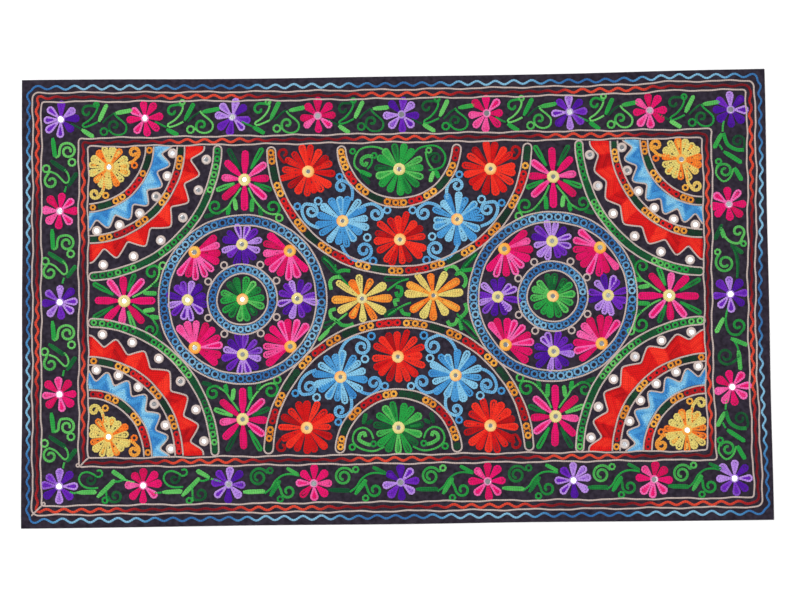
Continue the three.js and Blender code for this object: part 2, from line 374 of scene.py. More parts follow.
# shades of a petal: outer loop, next loop, middle line
petalTones = {
    "red": [(0.55, 0.6, 0.6), (0.9, 0.75, 0.7), (0.3, 0.25, 0.25), (0.65, 0.7, 0.6), (0.1, 0.1, 0.1),
            (0.8, 0.7, 0.8)],
    "blue": [(0.95, 0.95, 0.9), (0.5, 0.45, 0.5), (0.9, 0.6, 0.55), (0.55, 0.6, 0.5), (0.95, 0.9, 0.95),
             (0.35, 0.35, 0.4)],
    "green": [(0.75, 0.7, 0.7), (0.5, 0.5, 0.45), (0.3, 0.2, 0.25), (0.85, 0.6, 0.6), (0.55, 0.4, 0.45),
              (0.12, 0.2, 0.15)],
    "pink": [(0.3, 0.25, 0.3), (0.9, 0.6, 0.65), (0.2, 0.25, 0.2), (0.9, 0.45, 0.4), (0.4, 0.3, 0.35),
             (0.1, 0.15, 0.2), (0.8, 0.8, 0.8)],
    "purple": [(0.12, 0.05, 0.1), (0.97, 0.8, 0.6), (0.45, 0.25, 0.2), (0.95, 0.35, 0.3), (0.1, 0.15, 0.1),
               (0.9, 0.85, 0.8), (0.6, 0.35, 0.4)],
    "yellow": [(0.95, 0.95, 0.95), (0.1, 0.1, 0.15), (0.9, 0.95, 0.9), (0.3, 0.4, 0.5), (0.95, 0.9, 0.95),
               (0.12, 0.3, 0.3)],
    "corner": [(0.95, 0.95, 0.95), (0.85, 0.95, 0.9), (0.1, 0.1, 0.2), (0.95, 0.9, 0.95), (0.9, 0.5, 0.9),
               (0.95, 0.95, 0.4), (0.15, 0.6, 0.5)],
}


def petalShades(colour, tone):
    row = petalTones[colour][tone % len(petalTones[colour])]
    return [float(np.clip(value + rng.normal(0, petals["toneSpread"]), 0, 1)) for value in row]


def leaf(colour, base, tip, shade, width=None, wedge=False):
    width = width or thread["leafWidth"]
    length = math.hypot(*(tip - base))
    bearing = math.degrees(math.atan2(*(tip - base)[::-1]))
    slope = (leaves["wedgeSlope"] if wedge else leaves["slope"]) * width / length
    wide = min(width, length * leaves["fullest"])
    shades = (shade, shade * leaves["innerShade"])
    reach = length + leaves["pastTip"]
    petal(colour, base, bearing, reach, wide, slope, leaves["hole"], shades, 1, thread["leafThread"])


def ringStitch(colour, centre, radius, shade, width=None):
    path = arc(centre, radius, 0, 360, thread["ringSteps"])[:-1]
    sew(colour, path, width or thread["ringWidth"], closed=True, shade=shade, wobble=thread["ringWobble"])


def scroll(colour, stem, centre, radius, start, sweep, shade, width=None):
    # a stem that runs into a spiral curl
    turn = spiral(centre, radius, start, sweep)
    sewDouble(colour, curve(np.vstack([np.atleast_2d(stem), turn]), curl["curveSteps"]), shade, width)


def sewDouble(colour, path, shade, width=None):
    # two rows side by side
    width = width or thread["curlWidth"][colour]
    side = sideways(path) * width / 4
    for way in (1, -1):
        sew(colour, path + way * side, width * thread["pairShare"], shade=shade, wobble=thread["pairWobble"])


chain = {
    "jog": 0.3, "radiusSpread": 0.03,
    # short lines beside the loops: half length, width and height
    "bridge": (3.2, 3.0, 1.0), "bridgeShade": 0.45,
    "slit": (3.4, 3.8, 1.3), "slitOut": 1.7,
    "middle": (3, 4.8, 1.3),
}


def ringChain(path, loops, radius, width, bridge):
    # loops in a row between two cords, joined along both cords; fill 1 closes the slits, 2 the holes too
    total = lengthAlong(path)[-1]
    count = len(loops)
    places = (np.arange(count) + 0.5) * total / count
    centres = sampleAt(path, places)
    tangent = sampleAt(path, np.minimum(places + 1, total)) - sampleAt(path, np.maximum(places - 1, 0))
    tangent /= np.hypot(tangent[:, 0], tangent[:, 1])[:, None]
    gap = total / count / 2

    def bar(colour, middle, along, size, shade):
        reach, wide, high = size
        sew(colour, [middle - along * reach, middle + along * reach], wide, high, shade=shade)
    for k, (colour, shade, fill) in enumerate(loops):
        centre = centres[k] + rng.normal(0, chain["jog"], 2)
        along = tangent[k]
        out = np.array([-along[1], along[0]])
        ringStitch(colour, centre, radius * (1 + rng.normal(0, chain["radiusSpread"])), shade, width)
        runsOn = k < count - 1 and loops[k + 1][0] == colour
        for side in (-1, 1):
            if runsOn:
                middle = centre + along * gap + out * side * bridge
                bar(colour, middle, along, chain["bridge"], shade * chain["bridgeShade"])
            if fill and runsOn:
                middle = centre + along * gap + out * side * chain["slitOut"]
                bar(colour, middle, along, chain["slit"], shade)
        if fill == 2:
            bar(colour, centre, along, chain["middle"], shade)


def toneRun(count, middle, swing, pace, spread):
    # the dye goes from light to dark and back as the thread runs on
    start = rng.uniform(0, fullTurn)
    return [middle + swing * math.sin(pace * k + start) + rng.normal(0, spread) for k in range(count)]


# Mirrors: a glass disc under a ring of buttonhole stitch
mirrors = {"glass": [], "rim": []}
underRim = 0.86  # where the rim starts, as a share of the glass


def mirrorStitch(centre, glass, rimOut, tone, tilt=4.0, group="field"):
    mirrors["glass"].append({"centre": centre, "radius": glass, "tilt": tilt, "group": group})
    mirrors["rim"].append({"centre": centre, "inner": glass * underRim, "outer": rimOut, "tone": tone,
                           "turn": rng.uniform(0, fullTurn)})


# Frames
frames = {
    # box is left, right, top and bottom; bend is how far the right side is drawn in near its middle;
    # swing is that of dark thread and of bright; pitch is the length of a wave along the cloth and up it
    "lines": [
        {"box": (-748, 751, 440.5, -442), "corner": 14, "bend": -8.5, "sags": True,
         "wave": {"colour": "blueLine", "swing": (3.5, 4.1), "pitch": (37.5, 28), "width": 4.7}},
        {"box": (-739, 740.5, 430, -430.5), "corner": 13, "bend": -7.5, "sags": True},
        {"box": (-729.5, 731.5, 420.5, -422), "corner": 8, "bend": -6, "sags": True,
         "wave": {"colour": "redLine", "swing": (1.4, 3.5), "pitch": (36, 29), "width": 5.6}},
        {"box": (-721, 723, 411.5, -412), "corner": 6, "bend": -5, "sags": True},
        {"box": (-644, 651, 335, -335), "corner": 6, "bend": -6, "sags": False},
        {"box": (-635, 641.5, 326, -326), "corner": 5, "bend": -5, "sags": False,
         "wave": {"colour": "redLine", "swing": (1.4, 3.5), "pitch": (36, 31), "width": 5.6}},
        {"box": (-625, 632.5, 317.5, -317), "corner": 6, "bend": -2.5, "sags": False},
    ],
    "grain": 2.5, "cornerSteps": 8, "bendAt": -90, "bendReach": 380, "bendPower": 4,
    # how far the outer lines sag along the top edge, from left to right
    "sagAt": (-740, -560, -280, 0, 400, 500, 570, 740), "sag": (0, -2, -4.5, -4.5, -3, -1, 3.5, 3),
    "sagPower": 8,
    "sideSwing": 0.78, "upright": 0.7,
    "toneCycle": 400, "toneEdge": 2.2, "toneLow": 0.06, "toneSpan": 0.88,
    "cordWobble": 1.7, "waveWobble": 0.5,
    # at one corner the cord was carried over from one round to the next, with a small loop
    "mitres": [
        {"line": [(-740, -431), (-730, -421), (-719, -411)], "loop": (-716, -408)},
        {"line": [(-640, -331), (-631, -322), (-622, -314)], "loop": (-646, -331)},
    ],
    "mitreWobble": 0.2, "mitreLoop": {"radius": 3.2, "width": 3.4, "wobble": 0.1, "steps": 15},
}


def roundedBox(line):
    left, right, top, bottom = line["box"]
    corner = line["corner"]
    corners = [(right - corner, top - corner, 0), (left + corner, top - corner, 90),
               (left + corner, bottom + corner, 180), (right - corner, bottom + corner, 270)]
    steps = frames["cornerSteps"]
    path = np.vstack([arc((x, y), corner, start, start + 90, steps) for x, y, start in corners])
    path = np.vstack([path, path[:1]])
    path = sampleAt(path, np.arange(0, lengthAlong(path)[-1], frames["grain"]))
    away = np.clip((path[:, 1] - frames["bendAt"]) / frames["bendReach"], -1, 1)
    nearRight = np.clip(path[:, 0] / right, 0, 1) ** frames["bendPower"]
    path[:, 0] += line["bend"] * np.cos(np.pi / 2 * away) ** 2 * nearRight
    if line["sags"]:
        nearTop = np.clip(path[:, 1] / top, 0, 1) ** frames["sagPower"]
        path[:, 1] += np.interp(path[:, 0], frames["sagAt"], frames["sag"]) * nearTop
    return path


def stitchWave(points, wave):
    normal = sideways(points, closed=True)
    upright = np.abs(normal[:, 0]) > frames["upright"]
    flatPitch, sidePitch = wave["pitch"]
    turns = np.cumsum(frames["grain"] / np.where(upright, sidePitch, flatPitch))
    turns *= round(turns[-1]) / turns[-1]
    along = np.linspace(0, 2 * np.pi, len(points))
    cycles = round(frames["grain"] * len(points) / frames["toneCycle"])
    tone = 0.5 + 0.5 * np.tanh(frames["toneEdge"] * np.sin(cycles * along + rng.uniform(0, fullTurn)))
    dark, bright = wave["swing"]
    swing = (dark + (bright - dark) * tone) * np.where(upright, frames["sideSwing"], 1)
    path = points + normal * (swing * np.sin(2 * np.pi * turns))[:, None]
    shade = frames["toneLow"] + frames["toneSpan"] * tone
    sew(wave["colour"], path, wave["width"], closed=True, shade=shade, wobble=frames["waveWobble"])


def stitchFrames():
    for line in frames["lines"]:
        if "wave" in line:
            stitchWave(roundedBox(line), line["wave"])
        else:
            couch(roundedBox(line), frames["cordWobble"], closed=True)
    for tie in frames["mitres"]:
        couch(curve(tie["line"]), frames["mitreWobble"])
        couchRing(tie["loop"], **frames["mitreLoop"])


# Strokes of a curl, heart or vine, kept as they are drawn and sewn later by stitchStrokes

def lineStroke(shade, *points):
    return {"kind": "line", "shade": shade, "points": points}


def boldStroke(shade, *points):
    return {"kind": "bold", "shade": shade, "points": points}


def leafStroke(shade, base, tip, width=None, wedge=False):
    return {"kind": "leaf", "shade": shade, "base": base, "tip": tip, "width": width, "wedge": wedge}


def ringStroke(shade, centre, radius):
    return {"kind": "ring", "shade": shade, "centre": centre, "radius": radius}


def scrollStroke(shade, stem, centre, radius, start, sweep, width=None, colour=None):
    return {"kind": "scroll", "shade": shade, "stem": stem, "centre": centre, "radius": radius,
            "start": start, "sweep": sweep, "width": width, "colour": colour}


# Border: flowers at even steps with a vine unit between them
border = {
    "flower": {"count": 8, "reach": 37.5, "width": 17, "hole": 7}, "turnSpread": 4,
    "glass": 6.3, "rim": 8.8, "tilt": 6, "jog": 0.9,
    "rows": [
        {"side": "top", "y": 374, "x": (-681, -508, -328, -153, 19, 193, 362, 526, 691),
         "colours": ("purple", "pink")},
        {"side": "bottom", "y": -373, "x": (-684, -513, -339, -166, 10, 186, 359, 522, 684),
         "colours": ("purple", "pink")},
        {"side": "left", "x": -683, "y": (186, 0, -187), "colours": ("pink", "purple")},
        {"side": "right", "x": 683, "y": (181, -2, -189.5), "colours": ("pink", "purple")},
    ],
    "unit": 172.5,
    # a dark unit has light leaves and its other strokes darker by this much
    "lightLeaf": 0.85, "darkest": 0.05, "darkBy": 0.5,
    "toneSum": 0.9,  # a reversed unit has dark for light: its shade and the first one's make this
}


# strokes of a vine unit, measured from the flower before it
vineTop = [
    lineStroke(0.3, (20, -9), (31, -15), (42, -20)),
    leafStroke(0.5, (40, -19), (66, -36)),
    lineStroke(0.9, (75, -8), (60, -15), (48, -18), (45, -13), (57, -5), (68, 7), (74, 20), (72, 30)),
    scrollStroke(0.5, [(74, 24), (66, 27)], (54, 14.5), 12.5, 75, 300),
    ringStroke(0.9, (73, 30), 5),
    leafStroke(0.5, (75, -10), (95, 30)),
    lineStroke(0.05, (85, -8), (97, 4), (109, 12)),
    leafStroke(0.7, (109, 11), (147, 17)),
    lineStroke(0.85, (109, 12), (115, 4), (126, -5), (134, -15), (132, -27), (121, -33), (108, -31),
               (98, -22)),
    scrollStroke(0.7, [(101, -24)], (110.5, -14.5), 11.5, 195, -330),
    ringStroke(0.85, (89.5, -25), 7),
]
vineBottom = [
    lineStroke(0.5, (22, -13), (30, -15), (38, -14)),
    leafStroke(0.85, (34, -14), (77, -12.5)),
    leafStroke(0.8, (73, -28), (114, 13)),
    lineStroke(0.6, (80, -5), (64, -6), (49, -1), (41, 11), (45, 23), (57, 27), (69, 23), (80, 17), (88, 22),
               (85, 30), (77, 29)),
    scrollStroke(0.08, [(77, 22)], (64, 12), 10.5, 20, -360),
    leafStroke(0.8, (136, 12), (108, 30)),
    lineStroke(0.8, (135, 12), (144, 9), (155, 6)),
    lineStroke(0.6, (113, 9), (123, 8), (134, 12)),
    lineStroke(0.6, (98, -2), (99, -18), (100, -34)),
    scrollStroke(0.1, [(99, -22), (104, -31)], (116, -20), 13, 250, 400),
    ringStroke(0.4, (93, -30), 5.5),
]
vineSpiral = [
    leafStroke(0.12, (24, -14), (73, -15)),
    scrollStroke(0.62, [(80, 24)], (60, 12), 19.5, 30, 600),
    ringStroke(0.7, (84, 27), 5.5),
    leafStroke(0.6, (80, -27), (103, 7)),
    lineStroke(0.45, (72, -18), (85, -8), (94, 6), (108, 17), (124, 20), (143, 17)),
    leafStroke(0.3, (113, 33), (143, 18), 7.5),
    scrollStroke(0.4, [(100, 4), (104, -6)], (121, -15), 15, 175, 430),
    ringStroke(0.55, (103, -31), 5.5),
]
vineSide = [
    leafStroke(0.5, (-17, -32), (-12, -78)),
    scrollStroke(0.85, [(-11, -77), (-4, -73), (-3, -62), (1, -52)], (15, -65), 17, 110, -500),
    ringStroke(0.9, (23, -87), 7),
    leafStroke(0.12, (-27, -81), (11, -107)),
    lineStroke(0.8, (8, -104), (15, -113), (17, -126), (10, -131), (1, -123), (-9, -113), (-23, -107)),
    ringStroke(0.9, (-30, -101), 7),
    scrollStroke(0.75, [(-24, -107)], (-20, -125), 15, 130, 400),
    leafStroke(0.1, (12, -140), (33, -112)),
    lineStroke(0.6, (9, -138), (7.5, -144), (6, -150)),
]
# the units down the right side, from the top corner
vineRight = [
    [
        lineStroke(0.6, (-11, -24), (-13, -34), (-14, -46)),
        leafStroke(0.75, (-15, -45), (-31, -79)),
        boldStroke(0.45, (-13, -48), (-5, -71), (12, -82), (28, -83)),
        scrollStroke(0.03, [(28, -81), (31, -73)], (16, -64), 14, -15, 420),
        lineStroke(0.5, (-20, -72), (-14, -83)),
        leafStroke(0.5, (-16, -83), (25, -110)),
        ringStroke(0.55, (-25, -106), 5.4),
        lineStroke(0.7, (-27, -113), (-29, -130), (-15, -145), (-1, -137), (7, -119)),
        scrollStroke(0.6, [(-26, -118), (-23, -113)], (-12, -125), 14.5, 110, -400),
        leafStroke(0.55, (7, -116), (22, -146)),
    ],
    [
        leafStroke(0.05, (-12, -37), (-29, -72)),
        leafStroke(0.75, (-17, -44), (-8, -68)),
        scrollStroke(0.75, [(-10, -64), (3, -77), (20, -80)], (18, -57), 14, -50, 400),
        ringStroke(0.75, (29, -81), 5.0),
        leafStroke(0.05, (0, -81), (28, -101)),
        lineStroke(0.2, (3, -80), (13, -105), (15, -130), (14, -150)),
        lineStroke(0.15, (7, -84), (17, -108), (18, -132), (16, -150)),
        ringStroke(0.8, (-23, -97), 5.4),
        scrollStroke(0.7, [(-24, -103)], (-10, -121), 20.5, 130, 560),
    ],
    [
        lineStroke(0.6, (-6, -28), (-9, -38), (-11, -47)),
        leafStroke(0.85, (-11, -44), (-31, -78)),
        scrollStroke(0.35, [(-11, -47), (-8, -67), (0, -79), (14, -81)], (16, -61), 14.5, -60, 400),
        leafStroke(0.65, (-4, -86), (33, -104)),
        lineStroke(0.5, (6, -93), (11, -102), (15, -112)),
        leafStroke(0.6, (14, -109), (17, -154)),
        scrollStroke(0.2, [(14, -124), (9, -133)], (-9, -123), 18.5, -50, -480),
    ],
]


def darker(stroke):
    shade = max(border["darkest"], stroke["shade"] - border["darkBy"])
    return dict(stroke, shade=border["lightLeaf"] if stroke["kind"] == "leaf" else shade)


vineTopDark = [darker(stroke) for stroke in vineTop]
vineSpiralDark = [dict(stroke, shade=border["toneSum"] - stroke["shade"]) for stroke in vineSpiral]
# the units along each side, from the left or from the top
vines = {
    "top": [vineTopDark, vineTop, vineTop, vineTopDark],
    "bottom": [vineBottom, vineBottom, vineSpiralDark, vineSpiral, vineSpiral, vineSpiralDark, vineSpiral,
               vineSpiral],
    "left": [vineSide],
    "right": vineRight[1:] + vineRight[:1],
}
cornerVines = [((-681, 374), vineSide), ((688, 374), vineRight[0])]


def stitchStrokes(colour, strokes, place, degrees=0, flipX=False, flipY=False, stretch=1, jog=0):
    # place is where the origin of the strokes goes
    handed = -1 if flipX != flipY else 1

    def put(points):
        points = np.atleast_2d(np.asarray(points, float)) * (stretch, 1)
        return turned(points + rng.normal(0, 1, 2) * jog, degrees, place, flipX, flipY)

    def bearing(angle):
        if flipX:
            angle = 180 - angle
        if flipY:
            angle = -angle
        return angle + degrees

    for stroke in strokes:
        shade = float(np.clip(stroke["shade"] + rng.normal(0, thread["shadeSpread"]), 0, 1))
        if stroke["kind"] == "line":
            sew(colour, curve(put(stroke["points"])), width=thread["lineWidth"], shade=shade)
        elif stroke["kind"] == "bold":
            sewDouble(colour, curve(put(stroke["points"])), shade, thread["boldWidth"])
        elif stroke["kind"] == "leaf":
            base, tip = put(stroke["base"])[0], put(stroke["tip"])[0]
            leaf(colour, base, tip, shade, stroke["width"], stroke["wedge"])
        elif stroke["kind"] == "ring":
            ringStitch(colour, put(stroke["centre"])[0], stroke["radius"], shade)
        elif stroke["kind"] == "scroll":
            stem, centre = put(stroke["stem"]), put(stroke["centre"])[0]
            scroll(stroke["colour"] or colour, stem, centre, stroke["radius"],
                   bearing(stroke["start"]), stroke["sweep"] * handed, shade, stroke["width"])


def borderFlower(colour, centre):
    flower(colour, centre, turn=rng.normal(0, border["turnSpread"]), **border["flower"])
    mirrorStitch(centre, border["glass"], border["rim"], colour, border["tilt"], "border")


def stitchBorder():
    for row in border["rows"]:
        flat = row["side"] in ("top", "bottom")
        along, across = (row["x"], row["y"]) if flat else (row["y"], row["x"])
        units = vines[row["side"]]
        for k, place in enumerate(along):
            centre = np.array([place, across] if flat else [across, place], float)
            if not flat or k < len(along) - 1:
                # a unit is drawn out or pressed together to fit between its two flowers
                stretch = (along[k + 1] - place) / border["unit"] if flat else 1
                stitchStrokes("green", units[k % len(units)], centre, stretch=stretch, jog=border["jog"])
            borderFlower(row["colours"][k % 2], centre)
    for place, unit in cornerVines:
        stitchStrokes("green", unit, place, jog=border["jog"])


# Round wreaths
wreaths = {
    "places": [(-309.5, 1), (323, -1)],
    # a band of blue loops lies between two rounds of cord; steps is how many points its path has
    "bands": [
        {"outer": 172, "inner": 151, "loops": 57, "steps": 160, "radius": 6.2, "bridge": 7.2},
        {"outer": 71, "inner": 52, "loops": 25, "steps": 90, "radius": 5.4, "bridge": 6.4},
    ],
    "ringWidth": 4.4, "tone": {"middle": 0.45, "swing": 0.45, "pace": 0.42, "spread": 0.06},
    "cordWobble": 0.8, "cordSteps": 120,
    "heart": {"count": 14, "reach": 46, "width": 15, "hole": 9, "turn": 4},
    "heartMirror": (5, 12.5, "peach"),
    "orbit": 112, "flower": {"count": 12, "reach": 42, "width": 14.6, "hole": 9, "jog": 1.5},
    "flowerTurn": 15, "flowerMirror": (5, 12.5, "cream"),
    "fanOrbit": 137.5, "fan": {"count": 9, "reach": 57, "width": 16, "hole": 9, "sweep": 187},
    "fanMirror": (5.5, 13, "gold"),
    "beadOrbit": 79, "beadBearings": (28, 62, 118, 152, 208, 242, 298, 332),
    "bead": {"radius": 6.6, "width": 3.8, "wobble": 0.15, "steps": 17},
}


def stitchWreath(centre):
    for band in wreaths["bands"]:
        for radius in (band["outer"], band["inner"]):
            couch(arc(centre, radius, 0, 360, wreaths["cordSteps"])[:-1], wreaths["cordWobble"], closed=True)
    for band in wreaths["bands"]:
        path = arc(centre, (band["outer"] + band["inner"]) / 2, 0, 360, band["steps"])
        loops = [("blueRing", tone, 0) for tone in toneRun(band["loops"], **wreaths["tone"])]
        ringChain(path, loops, band["radius"], wreaths["ringWidth"], band["bridge"])
    flower("green", centre, **wreaths["heart"])
    mirrorStitch(centre, *wreaths["heartMirror"])
    for bearing in (0, 90, 180, 270):
        side = polar(centre, wreaths["orbit"], bearing)
        flower("purple", side, turn=bearing + wreaths["flowerTurn"], **wreaths["flower"])
        mirrorStitch(side, *wreaths["flowerMirror"])
        heel = polar(centre, wreaths["fanOrbit"], bearing + 45)
        flower("pink", heel, turn=bearing + 45 + 180, **wreaths["fan"])
        mirrorStitch(heel, *wreaths["fanMirror"])
    for bearing in wreaths["beadBearings"]:
        couchRing(polar(centre, wreaths["beadOrbit"], bearing), **wreaths["bead"])


# Arches
arches = {
    "places": [
        {"centre": (13, 312), "facing": -90, "large": 262.5, "small": 118.5, "half": 8.9, "squash": 0.980,
         "largeLoops": "OOGGOOCCCOOGGOOCCCOOGGOOCCCOOGGOOCCOOGGOOCCCOGG",
         "smallLoops": "OOOCCOOGGOOOCCOOGGOOCC"},
        {"centre": (6.5, -313), "facing": 90, "large": 264.5, "small": 119, "half": 9.3, "squash": 0.992,
         "largeLoops": "GOOCCOOGGGOOCCOOGGOOCCCOOOGGOOCCCOOGGOOCCCOOG",
         "smallLoops": "OOGGOOCCCOOGGGOOCCCOOG"},
    ],
    "chain": {"radius": 5.3, "width": 4.9, "bridge": 5.9}, "cordWobble": 0.7, "curlJog": 0.7,
    "endGap": 0.5, "chainEnd": 0.62, "outerSteps": 90, "innerSteps": 80, "endSteps": 9, "chainSteps": 120,
    "colours": ("red", "blue", "red", "blue", "red"), "spacing": 37.2, "orbit": 193.5, "turnRange": 22,
    "flower": {"count": 16, "reach": 55, "width": 15.6, "hole": 10, "jog": 1.5, "mix": 0.9},
    "mirror": (4.6, 13, "peach"),
    "heartOut": 50, "heart": {"count": 15, "reach": 53, "width": 16, "hole": 10, "turn": 5},
    "heartMirror": (5, 13, "cream"),
}
# the letters of a band's loops, one after another from left to right
bandThreads = {
    "O": {"colour": "orange", "fill": 0},
    "G": {"colour": "bottle", "fill": 2},
    "C": {"colour": "crimson", "fill": 1},
    "R": {"colour": "greenRing", "fill": 0},
    "D": {"colour": "greenRing", "fill": 2, "shade": 0.04},
}
bandTone = {"middle": 0.55, "swing": 0.3, "pace": 0.5, "spread": 0.08}


def flattened(points, centre, share):
    return np.column_stack([points[:, 0], centre[1] + (points[:, 1] - centre[1]) * share])


def bandLoops(letters):
    rows = [bandThreads[letter] for letter in letters]
    tones = toneRun(len(rows), **bandTone)
    return [(row["colour"], float(np.clip(row.get("shade", tone), 0, 1)), row["fill"])
            for row, tone in zip(rows, tones)]


# strokes of the left half of the top arch, measured from the arch's centre
archStrokes = [
    scrollStroke(0.85, [(-97, -113), (-95, -98), (-99, -82)], (-118.7, -85.6), 13, 60, 400),
    ringStroke(0.55, (-122.5, -64), 6.2),
    scrollStroke(0.75, [(-166, -168), (-183, -161), (-196, -148), (-201, -131), (-195, -119)],
                 (-180, -134), 14, 95, -470),
    ringStroke(0.95, (-166, -113), 7),
    ringStroke(0.5, (-209, -122), 6.2),
    scrollStroke(0.75, [(-85, -130), (-71, -122), (-55, -119.5)], (-49.5, -141), 15, 62, -450),
    ringStroke(0.8, (-26, -134), 6.5),
    scrollStroke(0.75, [(-119, -203), (-111, -219), (-99, -231), (-83, -236)], (-73, -214), 17, -60, 460),
    ringStroke(0.9, (-66, -189), 6.8),
    ringStroke(0.5, (-54, -236), 6.8),
    scrollStroke(0.08, [(-226, -30), (-237, -32)], (-236, -14), 12, 235, -330, width=5.2, colour="red"),
]
# curls round the green flower, left and right under the top arch, and the left half over the bottom arch
topHeartLeft = [
    lineStroke(0.6, (-10, -36), (-19, -23), (-32, -10), (-48, -4), (-67, -4), (-82, -11), (-91, -27),
               (-91, -42), (-80, -53)),
    ringStroke(0.6, (-95, -12), 5.0),
    leafStroke(0.5, (-84, -51), (-57, -63)),
    leafStroke(0.04, (-80, -55), (-61, -79)),
    boldStroke(0.85, (-54, -24), (-64, -22), (-75, -27), (-77, -36), (-69, -41), (-66, -34)),
    lineStroke(0.35, (-55, -26), (-57, -38), (-65, -49)),
    ringStroke(0.45, (-51, -21), 5.0),
]
topHeartRight = [
    lineStroke(0.4, (31, -16), (42, -7), (58, -3), (73, -3), (86, -10), (94, -23), (93, -36), (86, -47),
               (71, -52), (60, -53)),
    lineStroke(0.8, (69, -51), (60, -38), (56, -27), (54, -15)),
    ringStroke(0.8, (61, -12), 5.2),
    scrollStroke(0.12, [(60, -28), (61, -22)], (74, -29), 12.5, 150, -430),
    leafStroke(0.85, (71, -53), (63, -77)),
    leafStroke(0.5, (73, -52), (81, -69)),
]
bottomHeartStrokes = [
    lineStroke(0.65, (-29, -12), (-45, -5), (-59, -4), (-77, -9), (-90, -19), (-93, -32), (-86, -46),
               (-71, -51), (-57, -43), (-51, -28)),
    ringStroke(0.6, (-94, -12), 5.6),
    ringStroke(0.5, (-51, -18), 5.2),
    boldStroke(0.85, (-57, -16), (-68, -19), (-80, -27), (-78, -37), (-70, -40), (-67, -32)),
    leafStroke(0.05, (-72, -56), (-66, -80)),
    leafStroke(0.05, (-66, -58), (-52, -66)),
]


def stitchBand(arch, radius, squash, letters):
    # a row of loops inside one cord that runs round both ends
    centre, facing, half = arch["centre"], arch["facing"], arch["half"]
    spread = 90 - math.degrees((half + arches["endGap"]) / radius)
    outer = arc(centre, radius + half, facing - spread, facing + spread, arches["outerSteps"])
    inner = arc(centre, radius - half, facing + spread, facing - spread, arches["innerSteps"])
    ends = []
    for side, way in ((1, spread), (-1, 180 - spread)):
        spot = polar(centre, radius, facing + side * spread)
        ends.append(arc(spot, half, facing + way, facing + way + 180, arches["endSteps"])[1:-1])
    outline = np.vstack([outer, ends[0], inner, ends[1]])
    couch(flattened(outline, centre, squash), arches["cordWobble"], closed=True)
    full = spread + math.degrees(arches["chainEnd"] * half / radius)
    along = arc(centre, radius, facing - full, facing + full, arches["chainSteps"])
    along = flattened(along, centre, squash)
    ringChain(along if facing < 0 else along[::-1], bandLoops(letters), **arches["chain"])


def stitchArches():
    for arch in arches["places"]:
        centre, facing = arch["centre"], arch["facing"]
        stitchBand(arch, arch["large"], arch["squash"], arch["largeLoops"])
        stitchBand(arch, arch["small"], 1, arch["smallLoops"])
        halfCount = (len(arches["colours"]) - 1) / 2
        for k, colour in enumerate(arches["colours"]):
            spot = polar(centre, arches["orbit"], facing + (k - halfCount) * arches["spacing"])
            flower(colour, spot, turn=rng.uniform(0, arches["turnRange"]), **arches["flower"])
            mirrorStitch(spot, *arches["mirror"])
        spot = polar(centre, arches["heartOut"], facing)
        flower("green", spot, **arches["heart"])
        mirrorStitch(spot, *arches["heartMirror"])
        atBottom = facing > 0
        for flipX in (False, True):
            stitchStrokes("blue", archStrokes, centre, flipX=flipX, flipY=atBottom, jog=arches["curlJog"])
            if atBottom:
                stitchStrokes("green", bottomHeartStrokes, centre, flipX=flipX, flipY=True)
        if not atBottom:
            stitchStrokes("green", topHeartLeft + topHeartRight, centre)


# Two yellow flowers in the middle, with leafy sprigs round them
middle = {
    "flowers": [(-65.5, -1), (80, 3.5)],
    "flower": {"count": 12, "reach": 60.5, "reachY": 49, "width": 16.4, "slope": 0.2, "hole": 9, "turn": 2,
               "mix": 1, "jog": 1.8},
    "mirrors": [(4.6, 11, "cream"), (4.6, 11, "gold")],
    "strokes": [
        leafStroke(0.03, (-112, 47), (-145, 86), 15),
        lineStroke(0.4, (-90, 23), (-106, 41), (-117, 54), (-130, 71), (-143, 83)),
        boldStroke(0.7, (-115, 53), (-104, 57), (-89, 56)),
        boldStroke(0.75, (-108, 43), (-121, 43), (-130, 34), (-128, 18)),
        lineStroke(0.35, (-117, 54), (-120, 69)),
        leafStroke(0.03, (-113, -45), (-146, -56), 14),
        lineStroke(0.75, (-96, -30), (-115, -45), (-136, -64), (-154, -83)),
        leafStroke(0.7, (-130, -60), (-155, -85), 8),
        boldStroke(0.8, (-119, -21), (-130, -25), (-128, -38), (-117, -45)),
        boldStroke(0.65, (-115, -47), (-106, -54), (-91, -55), (-83, -51)),
        leafStroke(0.05, (136, 55), (170, 89), 11),
        lineStroke(0.45, (124, 44), (133, 52), (148, 65), (168, 86)),
        leafStroke(0.4, (135, 53), (162, 56), 8),
        boldStroke(0.75, (131, 53), (124, 61), (111, 62), (104, 54)),
        boldStroke(0.75, (126, 46), (137, 48), (146, 38), (145, 25), (140, 20)),
        leafStroke(0.03, (132, -42), (172, -84), 19),
        lineStroke(0.4, (128, -34), (133, -41), (153, -60), (170, -80)),
        leafStroke(0.6, (133, -43), (137, -68), 8),
        boldStroke(0.75, (144, -13), (148, -25), (142, -36), (133, -42)),
        boldStroke(0.75, (129, -43), (124, -54), (113, -56), (108, -48)),
        leafStroke(0.03, (26, 39), (-20, 39), 12),
        lineStroke(0.6, (30, 38), (12, 33), (-7, 20), (-14, 15)),
        boldStroke(0.3, (4, 23), (15, 19), (14, 6), (7, 4), (4, 12)),
        leafStroke(0.03, (8, -22), (-20, -37), 13),
        lineStroke(0.45, (34, -10), (23, -14), (6, -23), (-13, -35)),
        boldStroke(0.7, (4, -17), (1, -6), (11, -4)),
        boldStroke(0.55, (14, -23), (19, -32), (33, -35)),
    ],
}


def stitchMiddle():
    stitchStrokes("green", middle["strokes"], (0, 0))
    for spot, mirror in zip(middle["flowers"], middle["mirrors"]):
        flower("yellow", spot, **middle["flower"])
        mirrorStitch(spot, *mirror)


